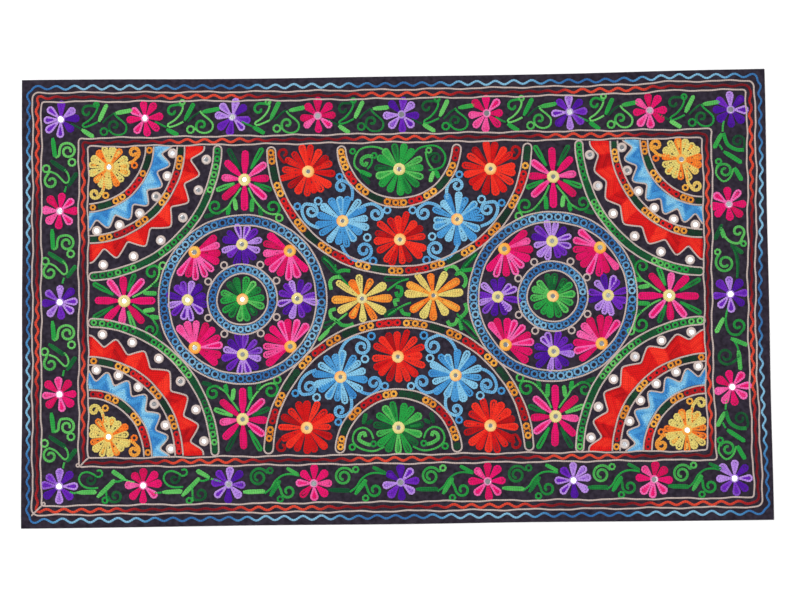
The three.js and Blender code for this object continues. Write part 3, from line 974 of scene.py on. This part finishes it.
# Long stars; the sprigs point at the nearest wreath, which is down in a star's own frame
stars = {
    "places": [
        {"centre": (-304, 245), "degrees": 0, "flipY": False, "flipX": False},
        {"centre": (327, 242), "degrees": 0, "flipY": False, "flipX": True},
        {"centre": (-310, -242), "degrees": 0, "flipY": True, "flipX": False},
        {"centre": (325, -244), "degrees": 0, "flipY": True, "flipX": True},
        {"centre": (-551, 0.6), "degrees": 90, "flipY": False, "flipX": False},
        {"centre": (559, -3), "degrees": -90, "flipY": False, "flipX": False},
    ],
    "petalWidth": 15.5, "slope": 0.24, "hole": 9, "mirror": (5, 13, "cream"),
    "petals": [
        {"bearing": 88, "reach": 61}, {"bearing": 37, "reach": 56}, {"bearing": 3, "reach": 51},
        {"bearing": -42, "reach": 60}, {"bearing": -90, "reach": 64}, {"bearing": -139, "reach": 60},
        {"bearing": 173, "reach": 48}, {"bearing": 135, "reach": 56},
    ],
    "strokes": [
        leafStroke(0.15, (-5, 13), (-33, 64), 11, wedge=True),
        leafStroke(0.45, (8, 13), (37, 64), 11, wedge=True),
        leafStroke(0.3, (12, -4), (55, -22), 11, wedge=True),
        leafStroke(0.75, (-12, -4), (-58, -21), 11, wedge=True),
        lineStroke(0.75, (-7, -17), (-18, -32), (-26, -42), (-34, -55), (-48, -65)),
        scrollStroke(0.35, [(-42, -61), (-52, -67)], (-60, -53.5), 14.5, -80, -420),
        leafStroke(0.8, (-21, -36), (-17.5, -62)),
        leafStroke(0.55, (-31, -51), (-35, -71)),
        leafStroke(0.05, (-60, -69), (-83, -75)),
        lineStroke(0.8, (8, -17), (17, -36), (30, -54), (42, -66), (56, -71.5), (70, -71)),
        scrollStroke(0.5, [(66, -71), (71, -64)], (57, -57), 14, -10, 330),
        ringStroke(0.75, (71, -79), 6.8),
        leafStroke(0.6, (16, -36), (14.5, -66)),
        leafStroke(0.1, (31, -54), (34, -76)),
    ],
}


def stitchStars():
    for star in stars["places"]:
        moves = {key: star[key] for key in ("degrees", "flipX", "flipY")}
        centre = star["centre"]
        stitchStrokes("green", stars["strokes"], centre, **moves)
        for k, row in enumerate(stars["petals"]):
            tip = turned(polar((0, 0), 1, row["bearing"]), **moves)[0]
            bearing = math.degrees(math.atan2(tip[1], tip[0]))
            petal("pink", centre, bearing, row["reach"], stars["petalWidth"], stars["slope"], stars["hole"],
                  petalShades("pink", k))
        mirrorStitch(centre, *stars["mirror"])


# Quarter fans in the corners; bearings run from 0 at the end on the long side to 90 at the other
fans = {
    # inBand, outBand and greens are the loops of the three bands, from bearing 0; notch is how far out the
    # red teeth are cut back, at bearing 0 and at 90
    "corners": [
        {"place": (-625, 318), "stretch": (1.0, 1.0), "tip": 239, "notch": (211, 211),
         "inBand": "OGGOCCCOOGGO", "outBand": "GOOCCCOOGGOOCCCOOG", "greens": "RRRRRRDDDRRRRRRRDDDRRRRRR"},
        {"place": (632, 317), "stretch": (0.945, 1.02), "tip": 243, "notch": (227, 215),
         "inBand": "OOGGOOCCCOOG", "outBand": "GOOCCCOOGGOOOCCOOGG",
         "greens": "RRRRRRDDDRRRRRRRRDDDDDRRRRRRDD"},
        {"place": (-626, -317), "stretch": (0.975, 1.03), "tip": 242, "notch": (214, 219),
         "inBand": "OCCCOOGGOOCC", "outBand": "CCCOOGGOOCCCOOGGO", "greens": "DRRRRRRDDDRRRRRRRDDRRRRRR"},
        {"place": (633, -318), "stretch": (0.975, 0.99), "tip": 248, "notch": (220, 230),
         "inBand": "CCCOOGGOOCCC", "outBand": "OCCCOOGGOOCCCOOGGO", "greens": "RRRRRRDDDRRRRRRRDDRRRRRR"},
    ],
    "sweep": (1, 89, 60), "cordWobble": 0.6, "chain": {"radius": 5.0, "width": 4.6, "bridge": 5.4},
    "bands": [
        {"inner": 118, "outer": 134.5, "loops": "inBand", "roundEnds": False},
        {"inner": 183, "outer": 199, "loops": "outBand", "roundEnds": False},
        {"inner": 258, "outer": 274.5, "loops": "greens", "roundEnds": True},
    ],
    # a band with round ends: points along each side and round an end, and the room left beyond it
    "sideSteps": 70, "endSteps": 9, "endGap": 0.4,
    # soften is the shifts over which the toothed edge is averaged; a swing of its shade is an amount, then
    # its pace by bearing, from flank to flank and from row to row
    "teeth": [
        {"root": 134.5, "notch": (149.5, 149.5), "tip": 176, "colour": "blueFill",
         "tips": (0, 13.5, 29, 45, 60.5, 76, 90), "notches": (6.5, 21, 37, 52.5, 68.5, 83.5),
         "soften": (-1.5, -0.5, 0.5, 1.5), "shade": 0.56, "swings": [(0.30, 11, 0, 0.1), (0.2, 0, 1.7, 1)]},
        {"root": 199, "colour": "redFill",
         "tips": (3, 15.0, 29.6, 44.5, 60.3, 75.7, 88), "notches": (8, 22.0, 36.7, 53, 67.5, 81),
         "soften": (-1.0, -0.3, 0.3, 1.0), "shade": 0.5, "swings": [(0.34, 0, 2.3, 0), (0.1, 0, 0, 0.9)]},
    ],
    "edgeSweep": (0.8, 89.2, 170), "edgeWobble": 0.3,
    "fillStep": 5.0, "fillWidth": 6.0, "fillRoom": 0.9, "leastPoints": 4,
    "rootRows": (4.2, 8.6), "rootWidth": 5, "rootInset": 25,
    "mirrorRows": [
        {"radius": 174.5, "first": 5.5, "step": 15.7},
        {"radius": 245, "first": 7.2, "step": 15.1},
    ],
    "mirrors": 6, "mirror": (5.2, 10.2, "white", 3, "fan"),
    "flowerAt": (43, 43), "flowerMirror": (5.8, 10.8, "gold"),
    "flower": {"count": 15, "reach": 43.5, "width": 16, "hole": 9, "turn": 6, "jog": 1.3, "mix": 1,
               "tones": "corner"},
    # curls of the corner flower, measured inwards from the corner
    "strokes": [
        lineStroke(0.75, (56, 38.5), (72, 37), (88, 34)),
        scrollStroke(0.3, [(84, 35), (92, 32)], (94, 13.5), 12.5, 70, -440),
        ringStroke(0.12, (95, 40), 5.4),
        lineStroke(0.2, (32, 58), (32, 74), (31.5, 90)),
        scrollStroke(0.85, [(32, 84), (29, 94)], (13.5, 97), 11.5, 5, 400),
        ringStroke(0.45, (36, 101), 5.4),
    ],
}


def inward(corner):
    # which way the field lies from a corner, along x and along y
    x, y = corner["place"]
    return (1 if x < 0 else -1), (1 if y < 0 else -1)


def fanPoint(corner, radius, bearing):
    signX, signY = inward(corner)
    stretchX, stretchY = corner["stretch"]
    angle = np.radians(bearing)
    x = corner["place"][0] + signX * np.asarray(radius) * np.cos(angle) * stretchX
    y = corner["place"][1] + signY * np.asarray(radius) * np.sin(angle) * stretchY
    return np.column_stack([np.atleast_1d(x), np.atleast_1d(y)])


def toothReach(row, corner, bearing):
    # how far out the toothed edge is at a bearing: straight flanks, tips and notches a little rounded;
    # the blue teeth are alike in all corners, the red ones are the corner's own
    tip = row.get("tip", corner["tip"])
    near, far = row.get("notch", corner["notch"])
    turns = [(at, tip) for at in row["tips"]]
    turns += [(at, near + (far - near) * at / 90) for at in row["notches"]]
    where, reach = zip(*sorted(turns))
    shifted = [np.interp(np.asarray(bearing) + shift, where, reach) for shift in row["soften"]]
    return sum(shifted) / len(shifted)


def toothShade(row, bearing, inset):
    # each flank of a tooth is sewn from its own length of thread
    flank = np.searchsorted(sorted(row["tips"] + row["notches"]), bearing)
    shade = row["shade"]
    for amount, byBearing, byFlank, byRow in row["swings"]:
        shade = shade + amount * np.sin(np.radians(bearing) * byBearing + byFlank * flank + byRow * inset)
    return shade


def stitchTeeth(row, corner):
    # rows of stitch follow the toothed edge inwards, and two more run along the root
    line = np.linspace(*fans["edgeSweep"])
    edge = toothReach(row, corner, line)
    couch(fanPoint(corner, edge, line), fans["edgeWobble"])
    inset = fans["fillStep"]
    while inset < edge.max() - row["root"] - 1:
        reach = edge - inset
        inside = reach > row["root"] + thread["width"] * fans["fillRoom"]
        edges = np.flatnonzero(np.diff(np.concatenate([[0], inside.astype(int), [0]])))
        for begin, end in zip(edges[::2], edges[1::2]):
            if end - begin >= fans["leastPoints"]:
                path = fanPoint(corner, reach[begin:end], line[begin:end])
                sew(row["colour"], path, fans["fillWidth"], shade=toothShade(row, line[begin:end], inset))
        inset += fans["fillStep"]
    sweepLine = np.linspace(*fans["sweep"])
    for out in fans["rootRows"]:
        path = fanPoint(corner, row["root"] + out, sweepLine)
        sew(row["colour"], path, fans["rootWidth"], shade=toothShade(row, sweepLine, fans["rootInset"]))


def roundEnded(corner, band):
    # one outline round a band, as radius and bearing, with a half circle at both ends
    half = (band["outer"] - band["inner"]) / 2
    between = (band["inner"] + band["outer"]) / 2
    turn = math.degrees(half / between) + fans["endGap"]
    steps = fans["sideSteps"]
    t = np.linspace(0, math.pi, fans["endSteps"])[1:-1]
    swell = np.degrees(half * np.sin(t) / between)
    ring = np.vstack([
        np.column_stack([np.full(steps, band["outer"]), np.linspace(turn, 90 - turn, steps)]),
        np.column_stack([between + half * np.cos(t), 90 - turn + swell]),
        np.column_stack([np.full(steps, band["inner"]), np.linspace(90 - turn, turn, steps)]),
        np.column_stack([between - half * np.cos(t), turn - swell]),
    ])
    return fanPoint(corner, ring[:, 0], ring[:, 1])


def stitchFan(corner):
    sweepLine = np.linspace(*fans["sweep"])
    for band in fans["bands"]:
        if band["roundEnds"]:
            couch(roundEnded(corner, band), fans["cordWobble"], closed=True)
        else:
            for radius in (band["inner"], band["outer"]):
                couch(fanPoint(corner, radius, sweepLine), fans["cordWobble"])
        path = fanPoint(corner, (band["inner"] + band["outer"]) / 2, sweepLine)
        ringChain(path, bandLoops(corner[band["loops"]]), **fans["chain"])
    for row in fans["teeth"]:
        stitchTeeth(row, corner)
    for row in fans["mirrorRows"]:
        for k in range(fans["mirrors"]):
            mirrorStitch(fanPoint(corner, row["radius"], row["first"] + k * row["step"])[0], *fans["mirror"])
    signX, signY = inward(corner)
    spot = np.array(corner["place"]) + np.array(fans["flowerAt"]) * (signX, signY)
    flower("yellow", spot, **fans["flower"])
    mirrorStitch(spot, *fans["flowerMirror"])
    stitchStrokes("yellow", fans["strokes"], corner["place"], flipX=signX < 0, flipY=signY < 0)


print("stitching paths")
stitchFrames()
stitchBorder()
for place in wreaths["places"]:
    stitchWreath(place)
stitchArches()
stitchMiddle()
stitchStars()
for corner in fans["corners"]:
    stitchFan(corner)


# Materials, with small helpers for their shader nodes

def newMaterial(name, roughness, sheen=0.0, metallic=0.0, specular=0.12):
    material = bpy.data.materials.new(name)
    material.use_nodes = True
    shader = material.node_tree.nodes["Principled BSDF"]
    shader.inputs["Roughness"].default_value = roughness
    shader.inputs["Metallic"].default_value = metallic
    shader.inputs["Sheen Weight"].default_value = sheen
    shader.inputs["Specular IOR Level"].default_value = specular
    return material, material.node_tree, shader


def addNode(tree, kind, inputs=None, **settings):
    # an input given as another node's socket is linked, any other is set
    made = tree.nodes.new("ShaderNode" + kind)
    for key, value in settings.items():
        setattr(made, key, value)
    for key, value in (inputs or {}).items():
        if isinstance(value, bpy.types.NodeSocket):
            tree.links.new(value, made.inputs[key])
        else:
            made.inputs[key].default_value = value
    return made


def maths(tree, operation, *values, clamped=False):
    return addNode(tree, "Math", dict(enumerate(values)), operation=operation, use_clamp=clamped).outputs[0]


def mapped(tree, value, limits, easing="LINEAR"):
    # limits: from begin to end, to low to high
    inputs = dict(enumerate([value, *limits]))
    return addNode(tree, "MapRange", inputs, interpolation_type=easing).outputs[0]


def objectPlace(tree):
    return addNode(tree, "TexCoord").outputs["Object"]


def noise(tree, scale, detail=2):
    inputs = {"Vector": objectPlace(tree), "Scale": scale, "Detail": detail}
    return addNode(tree, "TexNoise", inputs, noise_dimensions="3D").outputs["Fac"]


def ramp(tree, value, stops, easing="LINEAR"):
    made = addNode(tree, "ValToRGB", {"Fac": value})
    made.color_ramp.interpolation = easing
    elements = made.color_ramp.elements
    while len(elements) < len(stops):
        elements.new(0.5)
    for element, (place, colour) in zip(elements, stops):
        element.position = place
        element.color = linearColour(*colour)
    return made.outputs["Color"]


def dimmed(tree, colour, share):
    inputs = {"Factor": 1, 6: colour, 7: share}
    return addNode(tree, "Mix", inputs, data_type="RGBA", blend_type="MULTIPLY").outputs[2]


def finishShader(tree, shader, colour, height, strength, depth):
    inputs = {"Height": height, "Strength": strength, "Distance": depth}
    tree.links.new(addNode(tree, "Bump", inputs).outputs["Normal"], shader.inputs["Normal"])
    tree.links.new(colour, shader.inputs["Base Color"])


def stitchMark(tree):
    # place along the thread, place across it, and shade
    mark = addNode(tree, "Attribute", attribute_name="stitch").outputs["Vector"]
    return addNode(tree, "SeparateXYZ", {0: mark}).outputs


woolLook = {
    "roughness": 0.9, "sheen": 0.15, "bump": 0.35, "depth": 0.0012,
    "blotchScale": 60, "blotchShare": 0.35, "fibreScale": 1400, "fibreShare": 0.3,
    "lean": 1.1,  # how far a link is drawn back at its sides
    # painted shade; each from where to where it clears up, and from what to what: at the sides, between
    # links, in a link's hole, and what all three make of the colour, a little over 1 on the link tops as
    # painted highlight
    "side": (0.5, 0.33, 0.2, 1.0), "paintedJointShade": (0.0, 0.25, 0.2, 1.0), "hole": (0.08, 0.29, 0.15, 1.0),
    "paintedLight": (0.0, 1.0, 0.22, 1.2),
}


def threadMaterial(name, stops):
    # dyed wool in chain stitch: tone along the thread, V-shaped links with painted shade round them, fine
    # fibre
    look = woolLook
    material, tree, shader = newMaterial(name, look["roughness"], look["sheen"])
    along, across, shade = stitchMark(tree)
    blotch = noise(tree, look["blotchScale"])
    nudge = maths(tree, "MULTIPLY_ADD", blotch, look["blotchShare"], -look["blotchShare"] / 2)
    colour = ramp(tree, maths(tree, "ADD", shade, nudge, clamped=True), stops, "EASE")
    side = maths(tree, "ABSOLUTE", across)
    beat = maths(tree, "FRACT", maths(tree, "MULTIPLY_ADD", side, look["lean"], along))
    hump = maths(tree, "PINGPONG", beat, 0.5)
    fromHole = addNode(tree, "CombineXYZ", {0: maths(tree, "SUBTRACT", hump, 0.5), 1: across}).outputs[0]
    away = addNode(tree, "VectorMath", {0: fromHole}, operation="LENGTH").outputs["Value"]
    link = maths(tree, "MULTIPLY", mapped(tree, side, look["side"], "SMOOTHSTEP"),
                 mapped(tree, hump, look["paintedJointShade"], "SMOOTHSTEP"))
    link = maths(tree, "MULTIPLY", link, mapped(tree, away, look["hole"], "SMOOTHSTEP"))
    relief = maths(tree, "MULTIPLY_ADD", noise(tree, look["fibreScale"]), look["fibreShare"], link)
    # painted shade at the sides, joints and holes of the links, and a slight painted highlight on their tops
    colour = dimmed(tree, colour, mapped(tree, link, look["paintedLight"]))
    finishShader(tree, shader, colour, relief, look["bump"], look["depth"])
    return material


dyes = {
    "red": [(0.0, (168, 2, 14)), (0.4, (222, 16, 18)), (1.0, (252, 54, 34))],
    "blue": [(0.0, (42, 116, 188)), (0.5, (70, 154, 216)), (1.0, (138, 202, 234))],
    "green": [(0.0, (8, 78, 44)), (0.5, (34, 160, 66)), (1.0, (112, 206, 104))],
    "pink": [(0.0, (212, 0, 84)), (0.5, (240, 8, 114)), (1.0, (252, 108, 184))],
    "purple": [(0.0, (72, 2, 152)), (0.5, (116, 36, 192)), (1.0, (192, 146, 234))],
    "yellow": [(0.0, (250, 120, 34)), (0.45, (246, 172, 66)), (1.0, (230, 212, 118))],
    "orange": [(0.0, (222, 128, 34)), (1.0, (250, 178, 70))],
    "bottle": [(0.0, (8, 44, 30)), (1.0, (22, 72, 44))],
    "crimson": [(0.0, (170, 8, 22)), (1.0, (226, 26, 30))],
    "cord": [(0.0, (180, 160, 153)), (1.0, (226, 207, 200))],
    "steel": [(0.0, (48, 108, 172)), (0.5, (80, 148, 200)), (1.0, (134, 190, 222))],
    "edge": [(0.0, (112, 10, 24)), (0.55, (168, 26, 32)), (1.0, (228, 74, 50))],
}
pieces = [
    {"name": "threadRed", "baskets": ["red", "redFill"], "dye": "red", "slot": "thread_red"},
    {"name": "threadRedEdges", "baskets": ["redLine"], "dye": "edge", "slot": "thread_red"},
    {"name": "threadBlue", "baskets": ["blue", "blueFill"], "dye": "blue", "slot": "thread_blue"},
    {"name": "threadBlueEdge", "baskets": ["blueLine", "blueRing"], "dye": "steel", "slot": "thread_blue"},
    {"name": "threadGreen", "baskets": ["green", "greenRing"], "dye": "green", "slot": "thread_green"},
    {"name": "threadPink", "baskets": ["pink"], "dye": "pink", "slot": "thread_pink"},
    {"name": "threadPurple", "baskets": ["purple"], "dye": "purple", "slot": "thread_purple"},
    {"name": "threadYellow", "baskets": ["yellow"], "dye": "yellow", "slot": "thread_yellow"},
    {"name": "bandOrange", "baskets": ["orange"], "dye": "orange", "slot": "thread_mixed"},
    {"name": "bandBottleGreen", "baskets": ["bottle"], "dye": "bottle", "slot": "thread_mixed"},
    {"name": "bandCrimson", "baskets": ["crimson"], "dye": "crimson", "slot": "thread_mixed"},
    {"name": "couchedCord", "baskets": ["cord"], "dye": "cord", "slot": "cord"},
]


def makeThreads():
    total = 0
    made = []
    for row in pieces:
        strands = [strand for basket in row["baskets"] for strand in baskets.get(basket, [])]
        piece = threadMesh(row["name"], strands)
        piece.data.materials.append(threadMaterial(row["name"], dyes[row["dye"]]))
        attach(piece, "root")
        triangles = sum(len(face.vertices) - 2 for face in piece.data.polygons)
        metres = sum(lengthAlong(strand["path"])[-1] for strand in strands) / 1000
        print(f"{row['name']}: {len(strands)} lines, {metres:.1f} m, {triangles} triangles")
        total += triangles
        made.append(piece)
    print("thread triangles", total)
    return made


# Ground cloth

def groundMaterial():
    material, tree, shader = newMaterial("darkCotton", cloth["roughness"], specular=cloth["specular"])
    colour = ramp(tree, noise(tree, cloth["blotchScale"], cloth["blotchDetail"]), cloth["dyes"])
    place = addNode(tree, "SeparateXYZ", {0: objectPlace(tree)}).outputs
    warp, weft = [maths(tree, "SINE", maths(tree, "MULTIPLY", place[axis], cloth["weavePerMetre"]))
                  for axis in ("X", "Y")]
    weave = maths(tree, "MULTIPLY", warp, weft)
    colour = dimmed(tree, colour, mapped(tree, weave, cloth["weaveTint"]))
    finishShader(tree, shader, colour, weave, cloth["weaveBump"], cloth["weaveDepth"])
    return material


def makeGround():
    # a closed sheet with a narrow turned edge, a touch thicker there
    halfX, halfY = cloth["length"] / 2, cloth["width"] / 2
    hem, gap = cloth["hemWidth"], cloth["afterHem"]
    rows = np.array([*cloth["foldRows"], hem])

    def stations(half):
        inner = np.linspace(-half + hem + gap, half - hem - gap, int(2 * half / cloth["cell"]))
        return np.concatenate([-half + rows, inner, (half - rows)[::-1]])
    xs, ys = stations(halfX), stations(halfY)
    gridX, gridY = np.meshgrid(xs, ys)
    flat = np.column_stack([gridX.ravel(), gridY.ravel()])
    bow = cloth["edgeBow"]
    u, v = flat[:, 0] / halfX, flat[:, 1] / halfY

    def push(amount, t, near):
        ripple = cloth["rippleRise"] * np.sin(math.pi * cloth["rippleWaves"] * t)
        return (amount * np.sin(math.pi * t) + ripple) * np.clip(near, 0, 1) ** cloth["bowPower"]
    moved = flat.copy()
    moved[:, 1] += push(bow["top"], (1 - u) / 2, v) - push(bow["bottom"], (1 + u) / 2, -v)
    moved[:, 0] += push(bow["right"], (1 + v) / 2, u) - push(bow["left"], (1 - v) / 2, -u)
    laid = lay(moved)
    fromEdge = np.minimum(halfX - np.abs(flat[:, 0]), halfY - np.abs(flat[:, 1]))
    rise = lift(laid)
    onEdge = fromEdge < (rows[0] + rows[1]) / 2
    besideEdge = fromEdge < (rows[1] + rows[2]) / 2
    edgeTop, besideTop = cloth["foldTops"]
    top = cloth["thick"] + rise + np.where(fromEdge < hem + gap / 2, cloth["hemRise"], 0)
    top = np.where(onEdge, rise + edgeTop, np.where(besideEdge, rise + besideTop, top))
    low = np.where(onEdge, rise + cloth["foldLow"], rise)
    count = len(flat)
    verts = np.vstack([np.column_stack([laid, top]), np.column_stack([laid, low])]) * metre
    ids = np.arange(count).reshape(len(ys), len(xs))
    a, b, c, d = ids[:-1, :-1].ravel(), ids[:-1, 1:].ravel(), ids[1:, 1:].ravel(), ids[1:, :-1].ravel()
    faces = [np.column_stack([a, b, c, d]), np.column_stack([d, c, b, a]) + count]
    rim = np.concatenate([ids[0, :-1], ids[:-1, -1], ids[-1, :0:-1], ids[:0:-1, 0]])
    after = np.roll(rim, -1)
    faces.append(np.column_stack([after, rim, rim + count, after + count]))
    piece = meshObject("groundCloth", verts, np.vstack(faces))
    piece.data.materials.append(groundMaterial())
    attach(piece, "root")
    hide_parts("ground_cloth")


rims = {
    "steps": 40, "sunk": 0.05, "stitchRise": 0.035, "spread": 0.015, "raisedShare": 0.5,
    # from outside in: share of the rim's width, and height
    "profile": [(1.0, 0.0), (0.93, 1.3), (0.62, 2.3), (0.25, 2.5), (0.0, 1.7), (0.0, 0.6)],
    "inShare": 0.55,  # how much of the shade comes from the place between inside and outside
    # the stitch wave also darkens the colour between stitches as painted shade, and lightens their tops a
    # little
    "roughness": 0.85, "sheen": 0.1, "bump": 0.5, "depth": 0.0006, "paintedLight": (-1.0, 1.0, 0.78, 1.05),
    "tones": {
        "peach": {"slot": "thread_yellow", "dyes": [(250, 160, 80), (255, 205, 130), (235, 220, 150)]},
        "cream": {"slot": "thread_yellow", "dyes": [(225, 205, 120), (240, 222, 150), (215, 205, 140)]},
        "gold": {"slot": "thread_yellow", "dyes": [(255, 150, 50), (250, 180, 80), (240, 205, 110)]},
        "white": {"slot": "cord", "dyes": [(225, 205, 195), (205, 188, 182), (235, 225, 218)]},
        "purple": {"slot": "thread_purple", "dyes": [(150, 100, 210), (190, 150, 230), (170, 160, 200)]},
        "pink": {"slot": "thread_pink", "dyes": [(240, 80, 160), (250, 130, 190), (225, 170, 200)]},
    },
}


def rimMaterial(name, dyed):
    material, tree, shader = newMaterial(name, rims["roughness"], rims["sheen"])
    along, shade, _ = stitchMark(tree)
    stitches = maths(tree, "SINE", along)
    colour = ramp(tree, shade, list(zip((0.0, 0.5, 1.0), dyed)))
    # painted shade between the stitches and a slight painted highlight on them, from the wave of the bump
    colour = dimmed(tree, colour, mapped(tree, stitches, rims["paintedLight"]))
    finishShader(tree, shader, colour, stitches, rims["bump"], rims["depth"])
    return material


def rimArrays(row):
    # a ring of raised stitches: its points, and for each the place along it and its shade
    steps, profile, inShare = rims["steps"], rims["profile"], rims["inShare"]
    angles = np.linspace(0, 2 * np.pi, steps, endpoint=False)
    beat = np.where(np.arange(steps) % 2, 1, -1)
    stitch = 1 + rims["stitchRise"] * beat + rng.normal(0, rims["spread"], steps)
    place = lay([row["centre"]])
    base = cloth["thick"] - rims["sunk"] + lift(place)[0]
    rings = np.zeros((steps, len(profile), 3))
    mark = np.zeros((steps, len(profile), 3))
    for j, (share, height) in enumerate(profile):
        radius = row["inner"] + (row["outer"] - row["inner"]) * share
        radius = radius * (stitch if share > rims["raisedShare"] else 1)
        rings[:, j, 0] = place[0, 0] + radius * np.cos(angles)
        rings[:, j, 1] = place[0, 1] + radius * np.sin(angles)
        rings[:, j, 2] = base + height
        mark[:, j, 0] = np.arange(steps) * math.pi
        mark[:, j, 1] = inShare * (1 - share) + (1 - inShare) * (0.5 + 0.5 * np.sin(angles + row["turn"]))
    return rings.reshape(-1, 3), mark.reshape(-1, 3)


def makeRims():
    steps, levels = rims["steps"], len(rims["profile"])
    made = []
    for tone, look in rims["tones"].items():
        rows = [row for row in mirrors["rim"] if row["tone"] == tone]
        verts, marks = zip(*[rimArrays(row) for row in rows])
        faces = []
        for k in range(len(rows)):
            ids = k * steps * levels + np.arange(steps * levels).reshape(steps, levels)
            ahead = np.roll(ids, -1, axis=0)
            for j in range(levels):
                i = (j + 1) % levels
                faces.append(np.column_stack([ids[:, j], ahead[:, j], ahead[:, i], ids[:, i]]))
        name = "mirrorRim" + tone.capitalize()
        piece = meshObject(name, np.vstack(verts) * metre, np.vstack(faces), np.vstack(marks))
        piece.data.materials.append(rimMaterial("rim" + tone.capitalize(), look["dyes"]))
        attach(piece, "root")
        print(f"{name}: {len(rows)} rims")
        made.append(piece)
    return made


glass = {
    "sides": 20, "stands": 1.15, "roundSpread": 0.02,
    "profile": [(0.9, 0.0), (0.95, 0.25), (0.92, 0.55), (0.86, 0.62)],  # share of the radius, and height
    "pieces": {"field": "mirrorsOfField", "border": "mirrorsOfBorder", "fan": "mirrorsOfFans"},
    "roughness": 0.14, "specular": 0.5, "cloudScale": 160, "bump": 0.02, "depth": 0.0002,
    "tints": [(0.0, (170, 172, 178)), (1.0, (214, 216, 220))],
}


def glassMaterial():
    material, tree, shader = newMaterial("silveredGlass", glass["roughness"], metallic=1.0,
                                         specular=glass["specular"])
    cloud = noise(tree, glass["cloudScale"])
    finishShader(tree, shader, ramp(tree, cloud, glass["tints"]), cloud, glass["bump"], glass["depth"])
    return material


def discArrays(row, first):
    # each disc is cut by hand, so it is a little out of round and lies at its own slant
    sides = glass["sides"]
    angles = np.linspace(0, 2 * np.pi, sides, endpoint=False)
    place = lay([row["centre"]])[0]
    base = cloth["thick"] + lift(place[None, :])[0] + glass["stands"]
    slant = np.radians(rng.normal(0, row["tilt"] / 2, 2))
    outline = row["radius"] * (1 + rng.normal(0, glass["roundSpread"], sides))
    verts = []
    for share, height in glass["profile"]:
        x, y = outline * share * np.cos(angles), outline * share * np.sin(angles)
        z = base + height + x * slant[0] + y * slant[1]
        verts += np.column_stack([place[0] + x, place[1] + y, z]).tolist()
    rings = [[first + level * sides + k for k in range(sides)] for level in range(len(glass["profile"]))]
    polygons = []
    for low, high in zip(rings[:-1], rings[1:]):
        for k in range(sides):
            after = (k + 1) % sides
            polygons.append([low[k], low[after], high[after], high[k]])
    return verts, polygons + [rings[0][::-1], rings[-1]]


def makeGlass():
    material = glassMaterial()
    made = []
    for group, name in glass["pieces"].items():
        verts, polygons = [], []
        rows = [row for row in mirrors["glass"] if row["group"] == group]
        for row in rows:
            newVerts, newPolygons = discArrays(row, len(verts))
            verts += newVerts
            polygons += newPolygons
        mesh = bpy.data.meshes.new(name)
        mesh.from_pydata((np.array(verts) * metre).tolist(), [], polygons)
        piece = bpy.data.objects.new(name, mesh)
        bpy.context.scene.collection.objects.link(piece)
        piece.data.materials.append(material)
        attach(piece, "root")
        if group == "field":
            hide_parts(*[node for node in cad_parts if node.startswith("mirror_")])
        print(f"{piece.name}: {len(rows)} mirrors")
        made.append(piece)
    return made


needlework = makeThreads() + makeRims() + makeGlass()
makeGround()


# Floor, light and camera
studio = {
    "floorSize": 14, "floorDrop": 0.0006, "world": 0.40,
    "key": {"place": (-3.2, 3.0, 5.2), "size": 2.6, "power": 235},
    "fill": {"place": (3.4, -2.2, 5.4), "size": 3.0, "power": 80},
    "overhead": {"height": 3.4, "size": 1.0, "power": 13.0, "columns": (-1.6, 1.6), "rows": (-0.75, 0.25)},
    "floorColour": (252, 252, 252), "floorRoughness": 0.9,
    # focal is in pixels of the photo, cameraTurn in degrees, lights in watts and all places in metres
    "cameraPlace": (0.0272, -0.0762, 2.2395), "cameraTurn": (1.93, 0.57, -0.70),
    "focal": 1100, "photoWidth": 794, "sensor": 36,
}


def softbox(name, place, size, power):
    lamp = bpy.data.lights.new(name, "AREA")
    lamp.size = size
    lamp.energy = power
    holder = bpy.data.objects.new(name, lamp)
    holder.location = place
    holder.rotation_euler = Vector(place).to_track_quat("Z", "Y").to_euler()
    bpy.context.scene.collection.objects.link(holder)
    return holder


def makeStudio():
    half = studio["floorSize"] / 2
    verts = np.array([(-half, -half, 0), (half, -half, 0), (half, half, 0), (-half, half, 0)])
    verts[:, 2] = -studio["floorDrop"]
    floor = meshObject("floor", verts, np.array([[0, 1, 2, 3]]), smooth=False)
    material, _, shader = newMaterial("paleFloor", studio["floorRoughness"])
    shader.inputs["Base Color"].default_value = linearColour(*studio["floorColour"])
    floor.data.materials.append(material)
    world = bpy.data.worlds.new("studio")
    bpy.context.scene.world = world
    world.use_nodes = True
    world.node_tree.nodes["Background"].inputs["Color"].default_value = (1, 1, 1, 1)
    world.node_tree.nodes["Background"].inputs["Strength"].default_value = studio["world"]
    for name in ("key", "fill"):
        softbox(name, studio[name]["place"], studio[name]["size"], studio[name]["power"])
    # boxes over the two ends, so that the mirrors there flash white and the rest stay grey
    row = studio["overhead"]
    for x in row["columns"]:
        for y in row["rows"]:
            box = softbox("overhead", (x, y, row["height"]), row["size"], row["power"])
            box.rotation_euler = (0, 0, 0)
    lens = bpy.data.cameras.new("camera")
    lens.sensor_width = studio["sensor"]
    lens.lens = studio["focal"] / studio["photoWidth"] * studio["sensor"]
    camera = bpy.data.objects.new("camera", lens)
    camera.location = studio["cameraPlace"]
    camera.rotation_euler = Euler([math.radians(a) for a in studio["cameraTurn"]], "XYZ")
    bpy.context.scene.collection.objects.link(camera)
    bpy.context.scene.camera = camera
    bpy.context.scene.view_settings.view_transform = "Standard"


makeStudio()
print("studio set")
